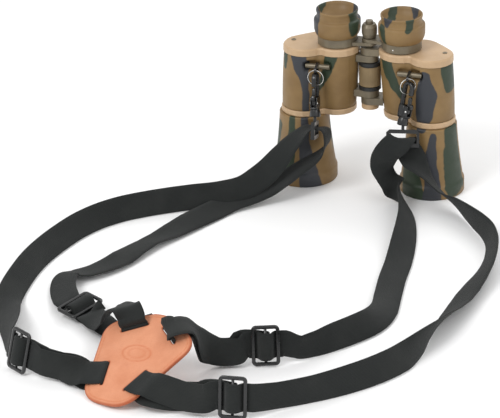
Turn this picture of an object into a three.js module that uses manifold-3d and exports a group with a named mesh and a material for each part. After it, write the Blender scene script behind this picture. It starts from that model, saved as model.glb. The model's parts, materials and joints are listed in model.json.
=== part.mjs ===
// Porro-prism binoculars clipped to a four-run elastic harness with a leather back yoke.
// Millimetres, +Z up. The binoculars stand on their objective rims with the eyepieces up; +X runs from
// the left telescope to the right one, and the harness lies on the surface towards -Y.
import * as THREE from "three";
import { mergeVertices } from "three/addons/utils/BufferGeometryUtils.js";
import Module from "manifold-3d";

const wasm = await Module();
wasm.setup();

// ---- driving dimensions ------------------------------------------------------------------------
const GAP = 0.3; // clearance between pieces that touch
const EYE_X = 32.5; // eyepiece axis from the hinge axis
const OBJ = { x: 65, y: -10, rimR: 32, coneTopR: 24.5, lensR: 25.2 }; // objective axis and radii
const Z = {
  rimTop: 13,
  barrelTop: 71.7,
  bandTop: 77.7,
  coverBottom: 135,
  coverTop: 142,
  ringBottom: 143,
  ringTop: 151,
  cupTop: 178,
};
const WALL = 2.6; // casting wall of the prism housing
const COVER_BORE_R = 16.4; // hole in the top cover that the eyepiece tube slides in
const TUBE_R = 16; // eyepiece tube
const WHEEL_R = 11; // focus wheel
const LUG = { x: 46.5, y: -23.5, z: 124.5, r: 2.5, length: 24 }; // strap lug bar
const RING = { y: -31.2, z: 115.4, r: 7.85, wire: 0.65 }; // split ring hanging at the lug
const HOOK_Z = { top: 120.5, nose: 106.5, pivot: 91, block: 97, skirt: 77, ball: 81.5 };
const HOOK = { y: -32.4, z: 107.6, lean: 17 }; // where a hook hangs on its ring, and its lean in degrees
const LOOP = { top: 71, bottom: 57.5, inside: 27, bar: 1.9, side: 2.6 }; // webbing loop under the swivel
const WEB = { width: 25.4, thick: 1.4 }; // one-inch elastic webbing
const SLIDE = { width: 38, length: 25, thick: 3, outerBar: 3.4, slot: 7.3 }; // tri-glide slide
const YOKE = { thick: 3, slotLength: 29.4, slotWidth: 4 };

// ---- shape helpers -----------------------------------------------------------------------------
const v3 = (x, y, z) => new THREE.Vector3(x, y, z);
const rad = THREE.MathUtils.degToRad;

function solid(geometry) {
  const g = geometry.index ? geometry.toNonIndexed() : geometry;
  const bare = new THREE.BufferGeometry().setAttribute("position", g.getAttribute("position"));
  const merged = mergeVertices(bare, 1e-4);
  return new wasm.Manifold(
    new wasm.Mesh({
      numProp: 3,
      vertProperties: merged.attributes.position.array,
      triVerts: new Uint32Array(merged.index.array),
    }),
  );
}

function geometryOf(manifold) {
  const mesh = manifold.getMesh();
  const g = new THREE.BufferGeometry();
  g.setAttribute("position", new THREE.BufferAttribute(new Float32Array(mesh.vertProperties), 3));
  g.setIndex(new THREE.BufferAttribute(new Uint32Array(mesh.triVerts), 1));
  g.computeVertexNormals();
  return g;
}

const cut = (a, ...tools) => geometryOf(tools.reduce((s, t) => s.subtract(solid(t)), solid(a)));
const join = (...pieces) => geometryOf(pieces.map(solid).reduce((a, b) => a.add(b)));

// A turned piece about a vertical axis; the profile is a closed or axis-to-axis list of [radius, z].
function turned(profile, segments = 28, x = 0, y = 0) {
  const points = profile.map(([r, z]) => new THREE.Vector2(r, z));
  return new THREE.LatheGeometry(points, segments).rotateX(Math.PI / 2).translate(x, y, 0);
}

// A tube-like turned piece: outer and inner radius between two heights.
const sleeve = (r, R, z0, z1, n = 28, x = 0, y = 0) =>
  turned([[r, z0], [R, z0], [R, z1], [r, z1], [r, z0]], n, x, y);
const disc = (R, z0, z1, n = 28, x = 0, y = 0) =>
  turned([[0, z0], [R, z0], [R, z1], [0, z1]], n, x, y);

// A cylinder between two points.
function rod(from, to, radius, segments = 16) {
  const axis = to.clone().sub(from);
  const turn = new THREE.Quaternion().setFromUnitVectors(v3(0, 1, 0), axis.clone().normalize());
  const middle = from.clone().add(to).multiplyScalar(0.5);
  return new THREE.CylinderGeometry(radius, radius, axis.length(), segments)
    .applyQuaternion(turn)
    .translate(middle.x, middle.y, middle.z);
}

const block = (x0, x1, y0, y1, z0, z1) =>
  new THREE.BoxGeometry(x1 - x0, y1 - y0, z1 - z0).translate(
    (x0 + x1) / 2,
    (y0 + y1) / 2,
    (z0 + z1) / 2,
  );

// A flat plate: a Shape extruded from z0 to z1.
const plate = (shape, z0, z1, curveSegments = 8) =>
  new THREE.ExtrudeGeometry(shape, { depth: z1 - z0, bevelEnabled: false, curveSegments }).translate(
    0,
    0,
    z0,
  );

// A skin through rings of points that all hold the same number of points, closed by flat ends.
function loft(rings) {
  const n = rings[0].length;
  const positions = rings.flat().flatMap((p) => [p.x, p.y, p.z]);
  const index = [];
  for (let k = 0; k + 1 < rings.length; k++)
    for (let i = 0; i < n; i++) {
      const j = (i + 1) % n;
      const [a, b, c, d] = [k * n + i, k * n + j, (k + 1) * n + j, (k + 1) * n + i];
      index.push(a, b, c, a, c, d);
    }
  const top = (rings.length - 1) * n;
  const flat = rings[0].map((p) => new THREE.Vector2(p.x, p.y));
  for (const [a, b, c] of THREE.ShapeUtils.triangulateShape(flat, [])) {
    index.push(a, c, b);
    index.push(top + a, top + b, top + c);
  }
  const g = new THREE.BufferGeometry();
  g.setAttribute("position", new THREE.Float32BufferAttribute(positions, 3));
  g.setIndex(index);
  return g;
}

// The outline that wraps two circles like a belt, as a Path going counter-clockwise.
function belt(x0, y0, r0, x1, y1, r1, path = new THREE.Shape()) {
  const along = Math.atan2(y1 - y0, x1 - x0);
  const lean = Math.acos((r0 - r1) / Math.hypot(x1 - x0, y1 - y0));
  path.absarc(x0, y0, r0, along + lean, along - lean + 2 * Math.PI, false);
  path.absarc(x1, y1, r1, along - lean, along + lean, false);
  path.closePath();
  return path;
}

// ---- materials ---------------------------------------------------------------------------------
const finish = (color, roughness, metalness = 0) =>
  new THREE.MeshStandardMaterial({ color, roughness, metalness });
const ARMOUR = finish(0x8a6f45, 0.75);
const TAN = finish(0xc2a173, 0.6);
const METAL = finish(0x6b675a, 0.5, 0.4);
const DARK = finish(0x1d1e1e, 0.55);
const STEEL = finish(0xc9c9c4, 0.25, 1);
const GLASS = finish(0x20242c, 0.05);
const PRISM = finish(0xb8c4c8, 0.05);
const WEBBING = finish(0x2b2d2e, 0.9);
const PLASTIC = finish(0x1a1b1c, 0.3);
const LEATHER = finish(0xe0a077, 0.65);

const model = new THREE.Group();
function add(name, geometry, material, parent = model) {
  const mesh = new THREE.Mesh(geometry, material);
  mesh.name = name;
  parent.add(mesh);
  return mesh;
}

// ---- telescopes --------------------------------------------------------------------------------
// Plan outline of the right prism housing at a height share t (0 = bottom, 1 = top), grown by grow.
function housingOutline(t, grow = 0) {
  const mix = (bottom, top) => bottom + (top - bottom) * t;
  const inner = { x: mix(34.2, EYE_X), r: mix(19.4, 22.6) + grow };
  const outer = { x: mix(64.5, 63.5), y: mix(-8.5, -6.5), r: mix(23.4, 21.6) + grow };
  const shape = new THREE.Shape();
  shape.absarc(outer.x, outer.y, outer.r, rad(-132), rad(32), false);
  shape.quadraticCurveTo(74 + grow, 14 + grow, 66 + grow * 0.7, 20 + grow * 0.8);
  shape.quadraticCurveTo(55 + grow * 0.6, 31 + grow, 45, 26.5 + grow);
  shape.absarc(inner.x, 0, inner.r, rad(98), rad(288), false);
  shape.quadraticCurveTo(45, -17 - grow * 0.8, outer.x + outer.r * Math.cos(rad(-132)),
    outer.y + outer.r * Math.sin(rad(-132)));
  return shape;
}

function housingRing(z, side, grow = 0) {
  const t = (z - Z.barrelTop) / (Z.coverTop - Z.barrelTop);
  const points = housingOutline(t, grow).getPoints(5).map((p) => v3(p.x * side, p.y, z));
  const last = points[points.length - 1];
  if (last.distanceTo(points[0]) < 1e-3) points.pop();
  return side < 0 ? points.reverse() : points;
}

const housingLoft = (side, levels) => loft(levels.map(([z, grow]) => housingRing(z, side, grow)));

function telescope(side, name) {
  const ox = OBJ.x * side;
  const ex = EYE_X * side;
  const label = (piece) => `${piece}_${name}`;

  const casing = cut(
    housingLoft(side, [[78, -0.6], [106, -0.3], [134.7, -0.6]]),
    housingLoft(side, [[81, -WALL - 0.6], [107, -WALL - 0.3], [136, -WALL - 0.6]]),
    disc(18, 76, 83, 32, ox, OBJ.y),
    rod(v3((LUG.x - 9) * side, LUG.y, LUG.z), v3((LUG.x + 9) * side, LUG.y, LUG.z), 5.2),
    rod(v3((LUG.x - 12.4) * side, LUG.y, LUG.z), v3((LUG.x + 12.4) * side, LUG.y, LUG.z), 2.85),
    disc(WHEEL_R + 1.2, 70, 140, 32),
  );
  add(label("prism_housing"), casing, ARMOUR);

  const band = cut(
    housingLoft(side, [[72, -0.4], [73, 0.2], [77, 0.2], [Z.bandTop, -0.2]]),
    disc(18, 70, 80, 32, ox, OBJ.y),
    disc(WHEEL_R + 1.2, 70, 80, 32),
  );
  add(label("housing_base_band"), band, TAN);

  const cover = cut(
    housingLoft(side, [[Z.coverBottom, 0.2], [140.6, 0.2], [Z.coverTop, -1.1]]),
    disc(COVER_BORE_R, 130, 145, 40, ex),
    disc(9, 130, 145, 32),
  );
  add(label("top_cover"), cover, TAN);

  // Two right-angle prisms turn the light path up and over, with a shelf between them.
  const mid = v3(54 * side, 10.5, 0);
  const toMid = Math.atan2(mid.y - OBJ.y, mid.x - ox);
  const toEye = Math.atan2(-mid.y, ex - mid.x);
  const roof = (z, apex, x, y, turn) => {
    const s = new THREE.Shape();
    s.moveTo(-19.5, 0);
    s.lineTo(19.5, 0);
    s.lineTo(2.5, apex);
    s.lineTo(-2.5, apex);
    const body = new THREE.ExtrudeGeometry(s, { depth: 15, bevelEnabled: false })
      .translate(0, 0, -7.5)
      .rotateX(Math.PI / 2);
    return body.rotateZ(turn).translate(x, y, z);
  };
  add(label("prism_upper"), roof(110, 17, (ox + mid.x) / 2, (OBJ.y + mid.y) / 2, toMid), PRISM);
  add(label("prism_lower"), roof(106, -17, (ex + mid.x) / 2, mid.y / 2, toEye), PRISM);
  const shelf = cut(
    housingLoft(side, [[106.6, -WALL - 0.7], [109.4, -WALL - 0.7]]),
    disc(8.5, 100, 115, 24, ox, OBJ.y),
    disc(8.5, 100, 115, 24, ex),
    disc(5.5, 100, 115, 24, mid.x, mid.y),
    disc(WHEEL_R + 1.2 + WALL, 100, 115, 32),
  );
  add(label("prism_shelf"), shelf, DARK);

  // Objective barrel: a straight rim that stands on the surface, then a cone up to the housing.
  const barrel = turned(
    [
      [29.6, 0], [31.4, 0], [OBJ.rimR, 0.8], [OBJ.rimR, 12], [31.2, Z.rimTop + 1], [30.2, 15.5],
      [27.4, 44], [OBJ.coneTopR, 70], [OBJ.coneTopR, Z.barrelTop], [19, Z.barrelTop], [20, 46],
      [25.6, 20.3], [25.6, 8], [29.6, 0],
    ], 36, ox, OBJ.y,
  );
  add(label("objective_barrel"), barrel, ARMOUR);
  const lens = turned(
    [
      [0, 9.8], [14, 10.7], [25.2, 13.8], [25.2, 17.6], [14, 19.4], [0, 20],
    ], 28, ox, OBJ.y,
  );
  add(label("objective_lens"), lens, GLASS);
  add(label("objective_retaining_ring"), sleeve(22.6, 25.3, 8.4, 11.6, 36, ox, OBJ.y), DARK);

  // Lug bar, the cord loop round it and the split ring that the hook clips to.
  const lugBar = rod(
    v3((LUG.x - LUG.length / 2) * side, LUG.y, LUG.z),
    v3((LUG.x + LUG.length / 2) * side, LUG.y, LUG.z),
    LUG.r,
  );
  add(label("strap_lug_bar"), lugBar, METAL);
}

function eyepiece(side, name) {
  const ex = EYE_X * side;
  const ringR = side < 0 ? 19.6 : TUBE_R + 0.8;
  const tube = turned(
    [
      [13.2, 131], [TUBE_R, 131], [TUBE_R, Z.ringBottom], [ringR, Z.ringBottom], [ringR, Z.ringTop],
      [17, Z.ringTop], [17, 163], [13.2, 163], [13.2, 131],
    ].filter(([r, z], i, all) => i === 0 || r !== all[i - 1][0] || z !== all[i - 1][1]), 32, ex,
  );
  const cup = turned(
    [
      [17.4, Z.ringTop + GAP], [20.2, Z.ringTop + GAP], [21, 153], [23, 158], [23, 166.5],
      [21.4, 168], [18.8, 170], [18.5, 173], [20.4, 177], [20.4, Z.cupTop], [19.4, Z.cupTop],
      [17.2, 172], [9.2, 166.2], [9.2, 163.4], [17.4, 163.4], [17.4, Z.ringTop + GAP],
    ], 32, ex,
  );
  const eyeLens = turned(
    [[0, 155], [8, 155.6], [12.9, 157], [12.9, 160.5], [7, 162.2], [0, 162.8]], 24, ex,
  );
  const fieldLens = turned(
    [[0, 134], [12.9, 135], [12.9, 138], [6, 139.6], [0, 140]], 24, ex,
  );
  add(`eyepiece_tube_${name}`, tube, METAL);
  add(`eyecup_${name}`, cup, ARMOUR);
  add(`eye_lens_${name}`, eyeLens, GLASS);
  add(`field_lens_${name}`, fieldLens, GLASS);
}

// The right eyepiece's ring turns to set the dioptre.
function dioptreRing() {
  add("dioptre_ring", sleeve(TUBE_R + 1.05, 19.6, Z.ringBottom, Z.ringTop, 32, EYE_X), METAL);
}

// ---- hinge, focus and bridge -------------------------------------------------------------------
function hingeAndFocus() {
  add("hinge_pin", disc(3.6, 79, 168, 24), METAL);
  const lug = (side, z0, z1) => {
    const ear = plate(belt(0, 0, 9, 20 * side, 2, 9), z0, z1, 10);
    const bored = solid(ear)
      .subtract(solid(disc(3.9, 60, 200, 24)))
      .subtract(solid(housingLoft(side, [[72, 0.4], [Z.coverTop, 0.4]])));
    return geometryOf(bored);
  };
  add("hinge_lug_left", lug(-1, 126.6, 133.5), METAL);
  add("hinge_lug_right", lug(1, 134, 141), METAL);
  add("hinge_foot_left", lug(-1, 89.4, 96.4), METAL);
  add("hinge_foot_right", lug(1, 82, 89), METAL);
  add("hinge_cap", cut(disc(8.6, 76.5, 81.6, 32), disc(3.9, 78.6, 90, 24)), TAN);
  add(
    "focus_wheel",
    turned(
      [
        [3.9, 97], [WHEEL_R, 97], [WHEEL_R, 100.6], [9.8, 101], [9.8, 122], [WHEEL_R, 122.4],
        [WHEEL_R, 126], [3.9, 126], [3.9, 97],
      ], 32,
    ), DARK,
  );
}

// Ribbed rubber sleeve on the wheel.
function focusGrip() {
  const shape = new THREE.Shape();
  const ribs = 24;
  for (let i = 0; i < ribs * 2; i++) {
    const a = (i / ribs) * Math.PI;
    const r = i % 2 ? WHEEL_R - 0.1 : WHEEL_R - 0.5;
    shape[i ? "lineTo" : "moveTo"](r * Math.cos(a), r * Math.sin(a));
  }
  shape.holes.push(new THREE.Path().absarc(0, 0, 10.1, 0, 2 * Math.PI, true));
  add("focus_wheel_grip", plate(shape, 101.4, 121.6), finish(0x7d6647, 0.9));
}

// Each bridge arm joins the spindle to its eyepiece's ring.
function bridgeArm(side, name, z0, z1) {
  const ex = EYE_X * side;
  add(`bridge_arm_${name}`, cut(
    plate(belt(0, 0, 7.4, ex, 0, 12), z0, z1, 12),
    disc(19.6 + GAP, 130, 180, 48, ex),
    disc(3.9, 130, 180, 24)), METAL);
}

function bridge() {
  bridgeArm(-1, "left", 143.6, 146.9);
  bridgeArm(1, "right", 147.2, 150.4);
  add("bridge_spindle", cut(
    turned([[0, 151], [6.4, 151], [7.6, 155], [7.6, 162], [6, 165], [0, 165]], 24),
    disc(3.9, 140, 170, 24)), METAL);
}

// ---- rings and hooks ---------------------------------------------------------------------------
function lugLoopAndRing(side, name, ringTurn) {
  const x = LUG.x * side;
  const wireZ = RING.z + RING.r;
  const outer = belt(LUG.y, LUG.z, LUG.r + 1.7, RING.y, wireZ, 2.5);
  outer.holes.push(belt(LUG.y, LUG.z, LUG.r + 0.4, RING.y, wireZ, 1.45, new THREE.Path()));
  const band = new THREE.ExtrudeGeometry(outer, { depth: 2.2, bevelEnabled: false, curveSegments: 6 })
    .translate(0, 0, -1.1)
    .rotateX(Math.PI / 2)
    .rotateZ(Math.PI / 2)
    .translate(x, 0, 0);
  add(`lug_cord_loop_${name}`, band, PLASTIC);
  const ring = new THREE.TorusGeometry(RING.r, RING.wire, 6, 24)
    .rotateX(Math.PI / 2)
    .rotateZ(ringTurn)
    .translate(x, RING.y, RING.z);
  add(`split_ring_${name}`, ring, STEEL);
}

// A trigger snap hook in its own frame: the hook lies in the local XZ plane with its nose at +x. It hangs
// on the split ring, with its lower end leaning away from the telescope. The ball of the webbing loop
// lets the loop face its own way.
function snapHook(name, side, sideLean, bodyTurn, loopTurn) {
  const hanger = new THREE.Group();
  hanger.position.set(LUG.x * side, HOOK.y, HOOK.z);
  hanger.rotation.set(rad(-HOOK.lean), rad(sideLean), 0);
  const body = new THREE.Group();
  body.position.z = -HOOK.z;
  body.rotation.z = rad(bodyTurn);
  model.add(hanger.add(body));
  const base = new THREE.Group();
  base.position.set(0, 0, HOOK_Z.ball - HOOK.z).applyEuler(hanger.rotation).add(hanger.position);
  base.rotation.copy(loopTurn);
  model.add(base);
  const { top, nose, pivot, block: blockTop, skirt, ball } = HOOK_Z;
  const R = 6.5;
  const r = 2.9;
  const shape = new THREE.Shape();
  shape.moveTo(-5.6, 84);
  shape.lineTo(5.6, 84);
  shape.lineTo(R, 88);
  shape.lineTo(R, blockTop);
  shape.lineTo(-r, blockTop);
  shape.lineTo(-r, top - R);
  shape.absarc(0, top - R, r, Math.PI, 0, true);
  shape.lineTo(r, nose);
  shape.lineTo(R, nose - 0.8);
  shape.lineTo(R, top - R);
  shape.absarc(0, top - R, R, 0, Math.PI, false);
  shape.lineTo(-R, 88);
  shape.closePath();
  const upright = (s, depth) =>
    new THREE.ExtrudeGeometry(s, { depth, bevelEnabled: false, curveSegments: 8 })
      .translate(0, 0, -depth / 2)
      .rotateX(Math.PI / 2);
  const cheeks = block(-R, R, -3.6, 3.6, 84, 96.5);
  const hookBody = solid(upright(shape, 5))
    .add(solid(cheeks))
    .add(solid(turned([[0, skirt], [5.4, skirt], [5, 84], [3.8, 88], [0, 88]], 18)))
    .subtract(solid(block(2.3, 8, -2.1, 2.1, 86.5, 89)))
    .subtract(solid(block(0.2, 8, -2.1, 2.1, 88.5, 104)))
    .subtract(solid(rod(v3(4.4, -4.5, pivot), v3(4.4, 4.5, pivot), 1.2, 12)))
    .subtract(solid(new THREE.SphereGeometry(3.5, 14, 8).translate(0, 0, ball)))
    .subtract(solid(turned([[0, 70], [3.7, 70], [2.3, ball], [0, ball]], 16)))
    .subtract(solid(rod(v3(0, -8, ball), v3(0, 8, ball), 2.5, 16)));
  add(`hook_body_${name}`, geometryOf(hookBody), PLASTIC, body);

  const gateShape = new THREE.Shape();
  gateShape.moveTo(3.1, 88.6);
  gateShape.lineTo(5.8, 88.6);
  gateShape.lineTo(6.3, 92);
  gateShape.lineTo(9.2, 94);
  gateShape.lineTo(9.2, 98.5);
  gateShape.lineTo(6.3, 99);
  gateShape.lineTo(6.3, nose - 1.6);
  gateShape.lineTo(3.2, nose - 0.9);
  gateShape.closePath();
  const gate = join(
    upright(gateShape, 3.6),
    rod(v3(4.4, -3.3, pivot), v3(4.4, 3.3, pivot), 0.9, 12),
  );
  add(`hook_gate_${name}`, gate, PLASTIC, body);

  // The ball stud is captive in the hook body and carries the webbing loop.
  const half = LOOP.inside / 2 + LOOP.side;
  const frame = new THREE.Shape();
  frame.moveTo(-half, LOOP.bottom - LOOP.bar);
  frame.lineTo(half, LOOP.bottom - LOOP.bar);
  frame.lineTo(half, LOOP.top - 1);
  frame.lineTo(half - 3, LOOP.top + 1.8);
  frame.lineTo(-half + 3, LOOP.top + 1.8);
  frame.lineTo(-half, LOOP.top - 1);
  frame.closePath();
  const window = new THREE.Path();
  window.moveTo(-LOOP.inside / 2, LOOP.bottom + LOOP.bar);
  window.lineTo(-LOOP.inside / 2, LOOP.top - 2);
  window.lineTo(LOOP.inside / 2, LOOP.top - 2);
  window.lineTo(LOOP.inside / 2, LOOP.bottom + LOOP.bar);
  window.closePath();
  frame.holes.push(window);
  const loopBody = join(
    upright(frame, LOOP.bar * 2),
    disc(1.5, LOOP.top, ball, 16),
    new THREE.SphereGeometry(3.1, 14, 8).translate(0, 0, ball),
  );
  add(`hook_webbing_loop_${name}`, loopBody.translate(0, 0, -ball), PLASTIC, base);
}

// ---- harness -----------------------------------------------------------------------------------
// The yoke lies tilted on the webbing, its far edge raised.
const yokeFrame = new THREE.Group();
yokeFrame.position.set(-85, -461, 27.2);
yokeFrame.rotation.set(rad(26), rad(-7), rad(-18), "ZXY");
yokeFrame.updateMatrix();
model.add(yokeFrame);

// Slots of the yoke in its own frame: centre, direction of the slot in degrees, and the way out of the yoke.
const SLOTS = {
  upperLeft: { x: -19, y: 25.5, turn: 212, out: [-0.53, 0.848] },
  upperRight: { x: 19, y: 25.5, turn: 148, out: [0.53, 0.848] },
  lowerRight: { x: 16.5, y: -25.8, turn: 250, out: [0.94, -0.342] },
  lowerLeft: { x: -16.5, y: -25.8, turn: 290, out: [-0.94, -0.342] },
};

function yoke() {
  const s = new THREE.Shape();
  s.moveTo(-9, 45);
  s.quadraticCurveTo(0, 46.5, 9, 45);
  s.lineTo(36, 33);
  s.quadraticCurveTo(52, 25, 47, 10);
  s.lineTo(29, -42);
  s.quadraticCurveTo(23, -55, 8, -56);
  s.quadraticCurveTo(0, -56.5, -8, -56);
  s.quadraticCurveTo(-23, -55, -29, -42);
  s.lineTo(-47, 10);
  s.quadraticCurveTo(-52, 25, -36, 33);
  s.closePath();
  const half = (YOKE.slotLength - YOKE.slotWidth) / 2;
  const r = YOKE.slotWidth / 2;
  for (const { x, y, turn } of Object.values(SLOTS)) {
    const c = Math.cos(rad(turn)) * half;
    const d = Math.sin(rad(turn)) * half;
    s.holes.push(belt(x - c, y - d, r, x + c, y + d, r, new THREE.Path()));
  }
  add("leather_yoke", plate(s, -YOKE.thick / 2, YOKE.thick / 2, 5), LEATHER, yokeFrame);
}

// Free runs of webbing from each hook's bar to its slide, as [x, y, z, wx, wy, wz]: the middle of the band
// and the way its width lies.
const RUNS = {
  lowerLeft: [
    [-44.3, -45.1, 67.5, -0.14, 0.94, -0.32],
    [-47.8, -45.7, 67.4, -0.2, 0.94, -0.2],
    [-53.5, -47, 65, -0.35, 0.92, 0],
    [-60.6, -49.5, 58.5, -0.5, 0.85, 0.15],
    [-68, -54.5, 51, -0.54, 0.77, 0.33],
    [-75, -61.5, 42, -0.57, 0.62, 0.5],
    [-84, -72, 31, -0.6, 0.4, 0.65],
    [-93, -82, 24, -0.5, 0.25, 0.8],
    [-105, -94, 18, -0.35, 0.15, 0.92],
    [-126, -107, 15.5, -0.2, 0.15, 0.95],
    [-149, -117, 14.2, -0.2, 0.3, 0.92],
    [-170, -128, 13.4, -0.2, 0.28, 0.93],
    [-190, -142, 13.3, -0.25, 0.25, 0.93],
    [-209, -157, 12.7, -0.35, 0.25, 0.9],
    [-224, -176, 12.6, -0.42, 0.2, 0.88],
    [-236, -199, 12.2, -0.5, 0.2, 0.84],
    [-244, -225, 11.8, -0.55, 0.18, 0.81],
    [-250, -254, 11.5, -0.6, 0.1, 0.78],
    [-253, -283, 11, -0.68, 0.05, 0.73],
    [-253, -312, 9.5, -0.78, 0, 0.62],
    [-252, -334, 7.5, -0.9, 0, 0.43],
    [-249, -352, 6, -0.98, 0.1, 0.1],
    [-242, -371, 7, -0.93, 0.2, -0.28],
    [-229, -399, 11, -0.8, 0.05, -0.58],
    [-217, -426, 15, -0.5, -0.15, -0.85],
    [-209, -447, 18.5, -0.2, -0.2, -0.95],
  ],
  upperLeft: [
    [-44.3, -45.1, 67.5, -0.14, 0.94, -0.32],
    [-40.8, -44.8, 68, -0.14, 0.94, -0.32],
    [-35.5, -44.8, 68, -0.1, 0.95, -0.25],
    [-32, -45, 64, 0, 0.98, -0.15],
    [-31, -45.5, 57.5, 0, 1, 0],
    [-32.5, -46, 51.5, 0, 1, 0],
    [-36, -47.5, 45, -0.1, 0.98, 0.1],
    [-41, -49.5, 39.5, -0.2, 0.95, 0.1],
    [-47, -52, 35, -0.3, 0.93, 0.1],
    [-55, -56, 30, -0.35, 0.9, 0.15],
    [-63, -61.5, 25, -0.38, 0.9, 0.18],
    [-70, -68, 20.5, -0.38, 0.88, 0.22],
    [-81, -76, 14, -0.4, 0.86, 0.28],
    [-94, -86, 9.5, -0.42, 0.85, 0.28],
    [-115, -106, 6, -0.45, 0.85, 0.25],
    [-128, -131, 6, -0.5, 0.8, 0.28],
    [-140, -155, 6, -0.6, 0.75, 0.25],
    [-150, -175, 5, -0.7, 0.65, 0.12],
    [-158, -190, 4.5, -0.8, 0.55, -0.08],
    [-165, -205, 4.8, -0.82, 0.5, -0.15],
    [-171, -223, 5.2, -0.85, 0.45, -0.05],
    [-177, -243, 5.5, -0.85, 0.45, 0.12],
    [-185, -259, 5, -0.8, 0.55, 0],
    [-193, -271, 5, -0.7, 0.7, -0.1],
    [-200, -279, 5, -0.65, 0.75, -0.12],
    [-206.5, -285, 6, -0.7, 0.7, -0.2],
    [-212, -289.5, 7.5, -0.9, 0.3, -0.25],
    [-213.5, -298, 7.5, -0.96, -0.1, -0.25],
    [-211, -311, 7.5, -0.9, -0.3, -0.28],
    [-205, -326, 8, -0.85, -0.42, -0.28],
    [-199, -337, 8.5, -0.7, -0.65, -0.22],
  ],
  upperRight: [
    [45, -46.5, 66.6, 0.95, 0.3, -0.05],
    [45.6, -50, 67.4, 0.95, 0.3, -0.05],
    [43.5, -54.6, 66, 0.96, 0.25, 0],
    [37.5, -57.6, 61.5, 0.95, 0.15, 0.2],
    [32, -58, 55, 0.92, 0.05, 0.3],
    [28.5, -56.5, 48, 0.9, 0, 0.3],
    [27, -54, 40, 0.85, 0.4, 0.1],
    [28.5, -53, 31, 0.5, 0.85, 0.1],
    [33, -52, 22, 0.2, 0.85, 0.5],
    [41, -54, 15, -0.1, 0.3, 0.95],
    [52, -71, 13, -0.45, -0.15, 0.87],
    [59, -88, 11.5, -0.55, -0.25, 0.8],
    [64.5, -106, 10.5, -0.62, -0.28, 0.73],
    [69, -128, 9, -0.75, -0.25, 0.6],
    [73, -155, 6.5, -0.88, -0.2, 0.4],
    [77, -188, 4, -0.97, -0.15, 0.18],
    [80, -221, 4, -0.97, -0.15, 0.16],
    [85, -256, 4.5, -0.96, -0.15, 0.2],
    [90, -290, 7.3, -0.9, -0.05, 0.42],
    [88, -317, 10.8, -0.68, 0.14, 0.72],
    [78, -340, 12.7, -0.4, 0.3, 0.86],
    [64, -361, 13.2, -0.3, 0.2, 0.93],
    [51, -379, 13.7, -0.1, -0.1, 0.98],
    [40, -392, 16, 0, -0.25, 0.95],
  ],
  lowerRight: [
    [45, -46.5, 66.6, 0.95, 0.3, -0.05],
    [44.4, -44, 65.3, 0.95, 0.3, -0.05],
    [45.5, -42.6, 61, 0.96, 0.25, 0],
    [49.5, -43.4, 54, 0.96, 0.1, 0.05],
    [56, -46.5, 46, 0.85, 0.25, 0],
    [64, -50.5, 38.5, 0.6, 0.65, -0.3],
    [71.5, -54, 31.5, 0.2, 0.88, -0.38],
    [80.5, -57.5, 23.5, 0, 0.9, -0.42],
    [88.5, -59.5, 17.5, 0.15, 0.8, -0.55],
    [97.5, -65.5, 14.5, 0.3, 0.6, -0.73],
    [111, -78, 13.5, 0.25, 0.25, -0.93],
    [126, -95, 13.6, 0.08, 0.08, -0.99],
    [139, -110, 13.6, -0.05, -0.02, -0.99],
    [150, -127, 13.3, -0.25, -0.1, -0.96],
    [157, -148, 12.5, -0.45, -0.15, -0.88],
    [160, -170, 11, -0.6, -0.1, -0.78],
    [160, -192, 9.5, -0.75, 0, -0.65],
    [157.5, -214, 7.5, -0.87, 0.05, -0.48],
    [155, -236, 6.5, -0.92, 0.1, -0.38],
    [153, -258, 7, -0.9, 0.1, -0.42],
    [150, -282, 8.5, -0.82, 0, -0.55],
    [147.5, -306, 11, -0.62, -0.1, -0.78],
    [145, -330, 12.8, -0.35, -0.1, -0.93],
    [140.5, -354, 13.3, 0.05, -0.1, -0.98],
    [132, -380, 12.5, 0.4, -0.28, -0.86],
    [118, -405, 12.5, 0.38, -0.3, -0.87],
    [97, -432, 12.9, 0.25, -0.2, -0.93],
    [72, -457, 13.4, 0.1, -0.05, -0.98],
    [46, -480, 15.5, 0, -0.05, -1],
  ],
};

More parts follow.
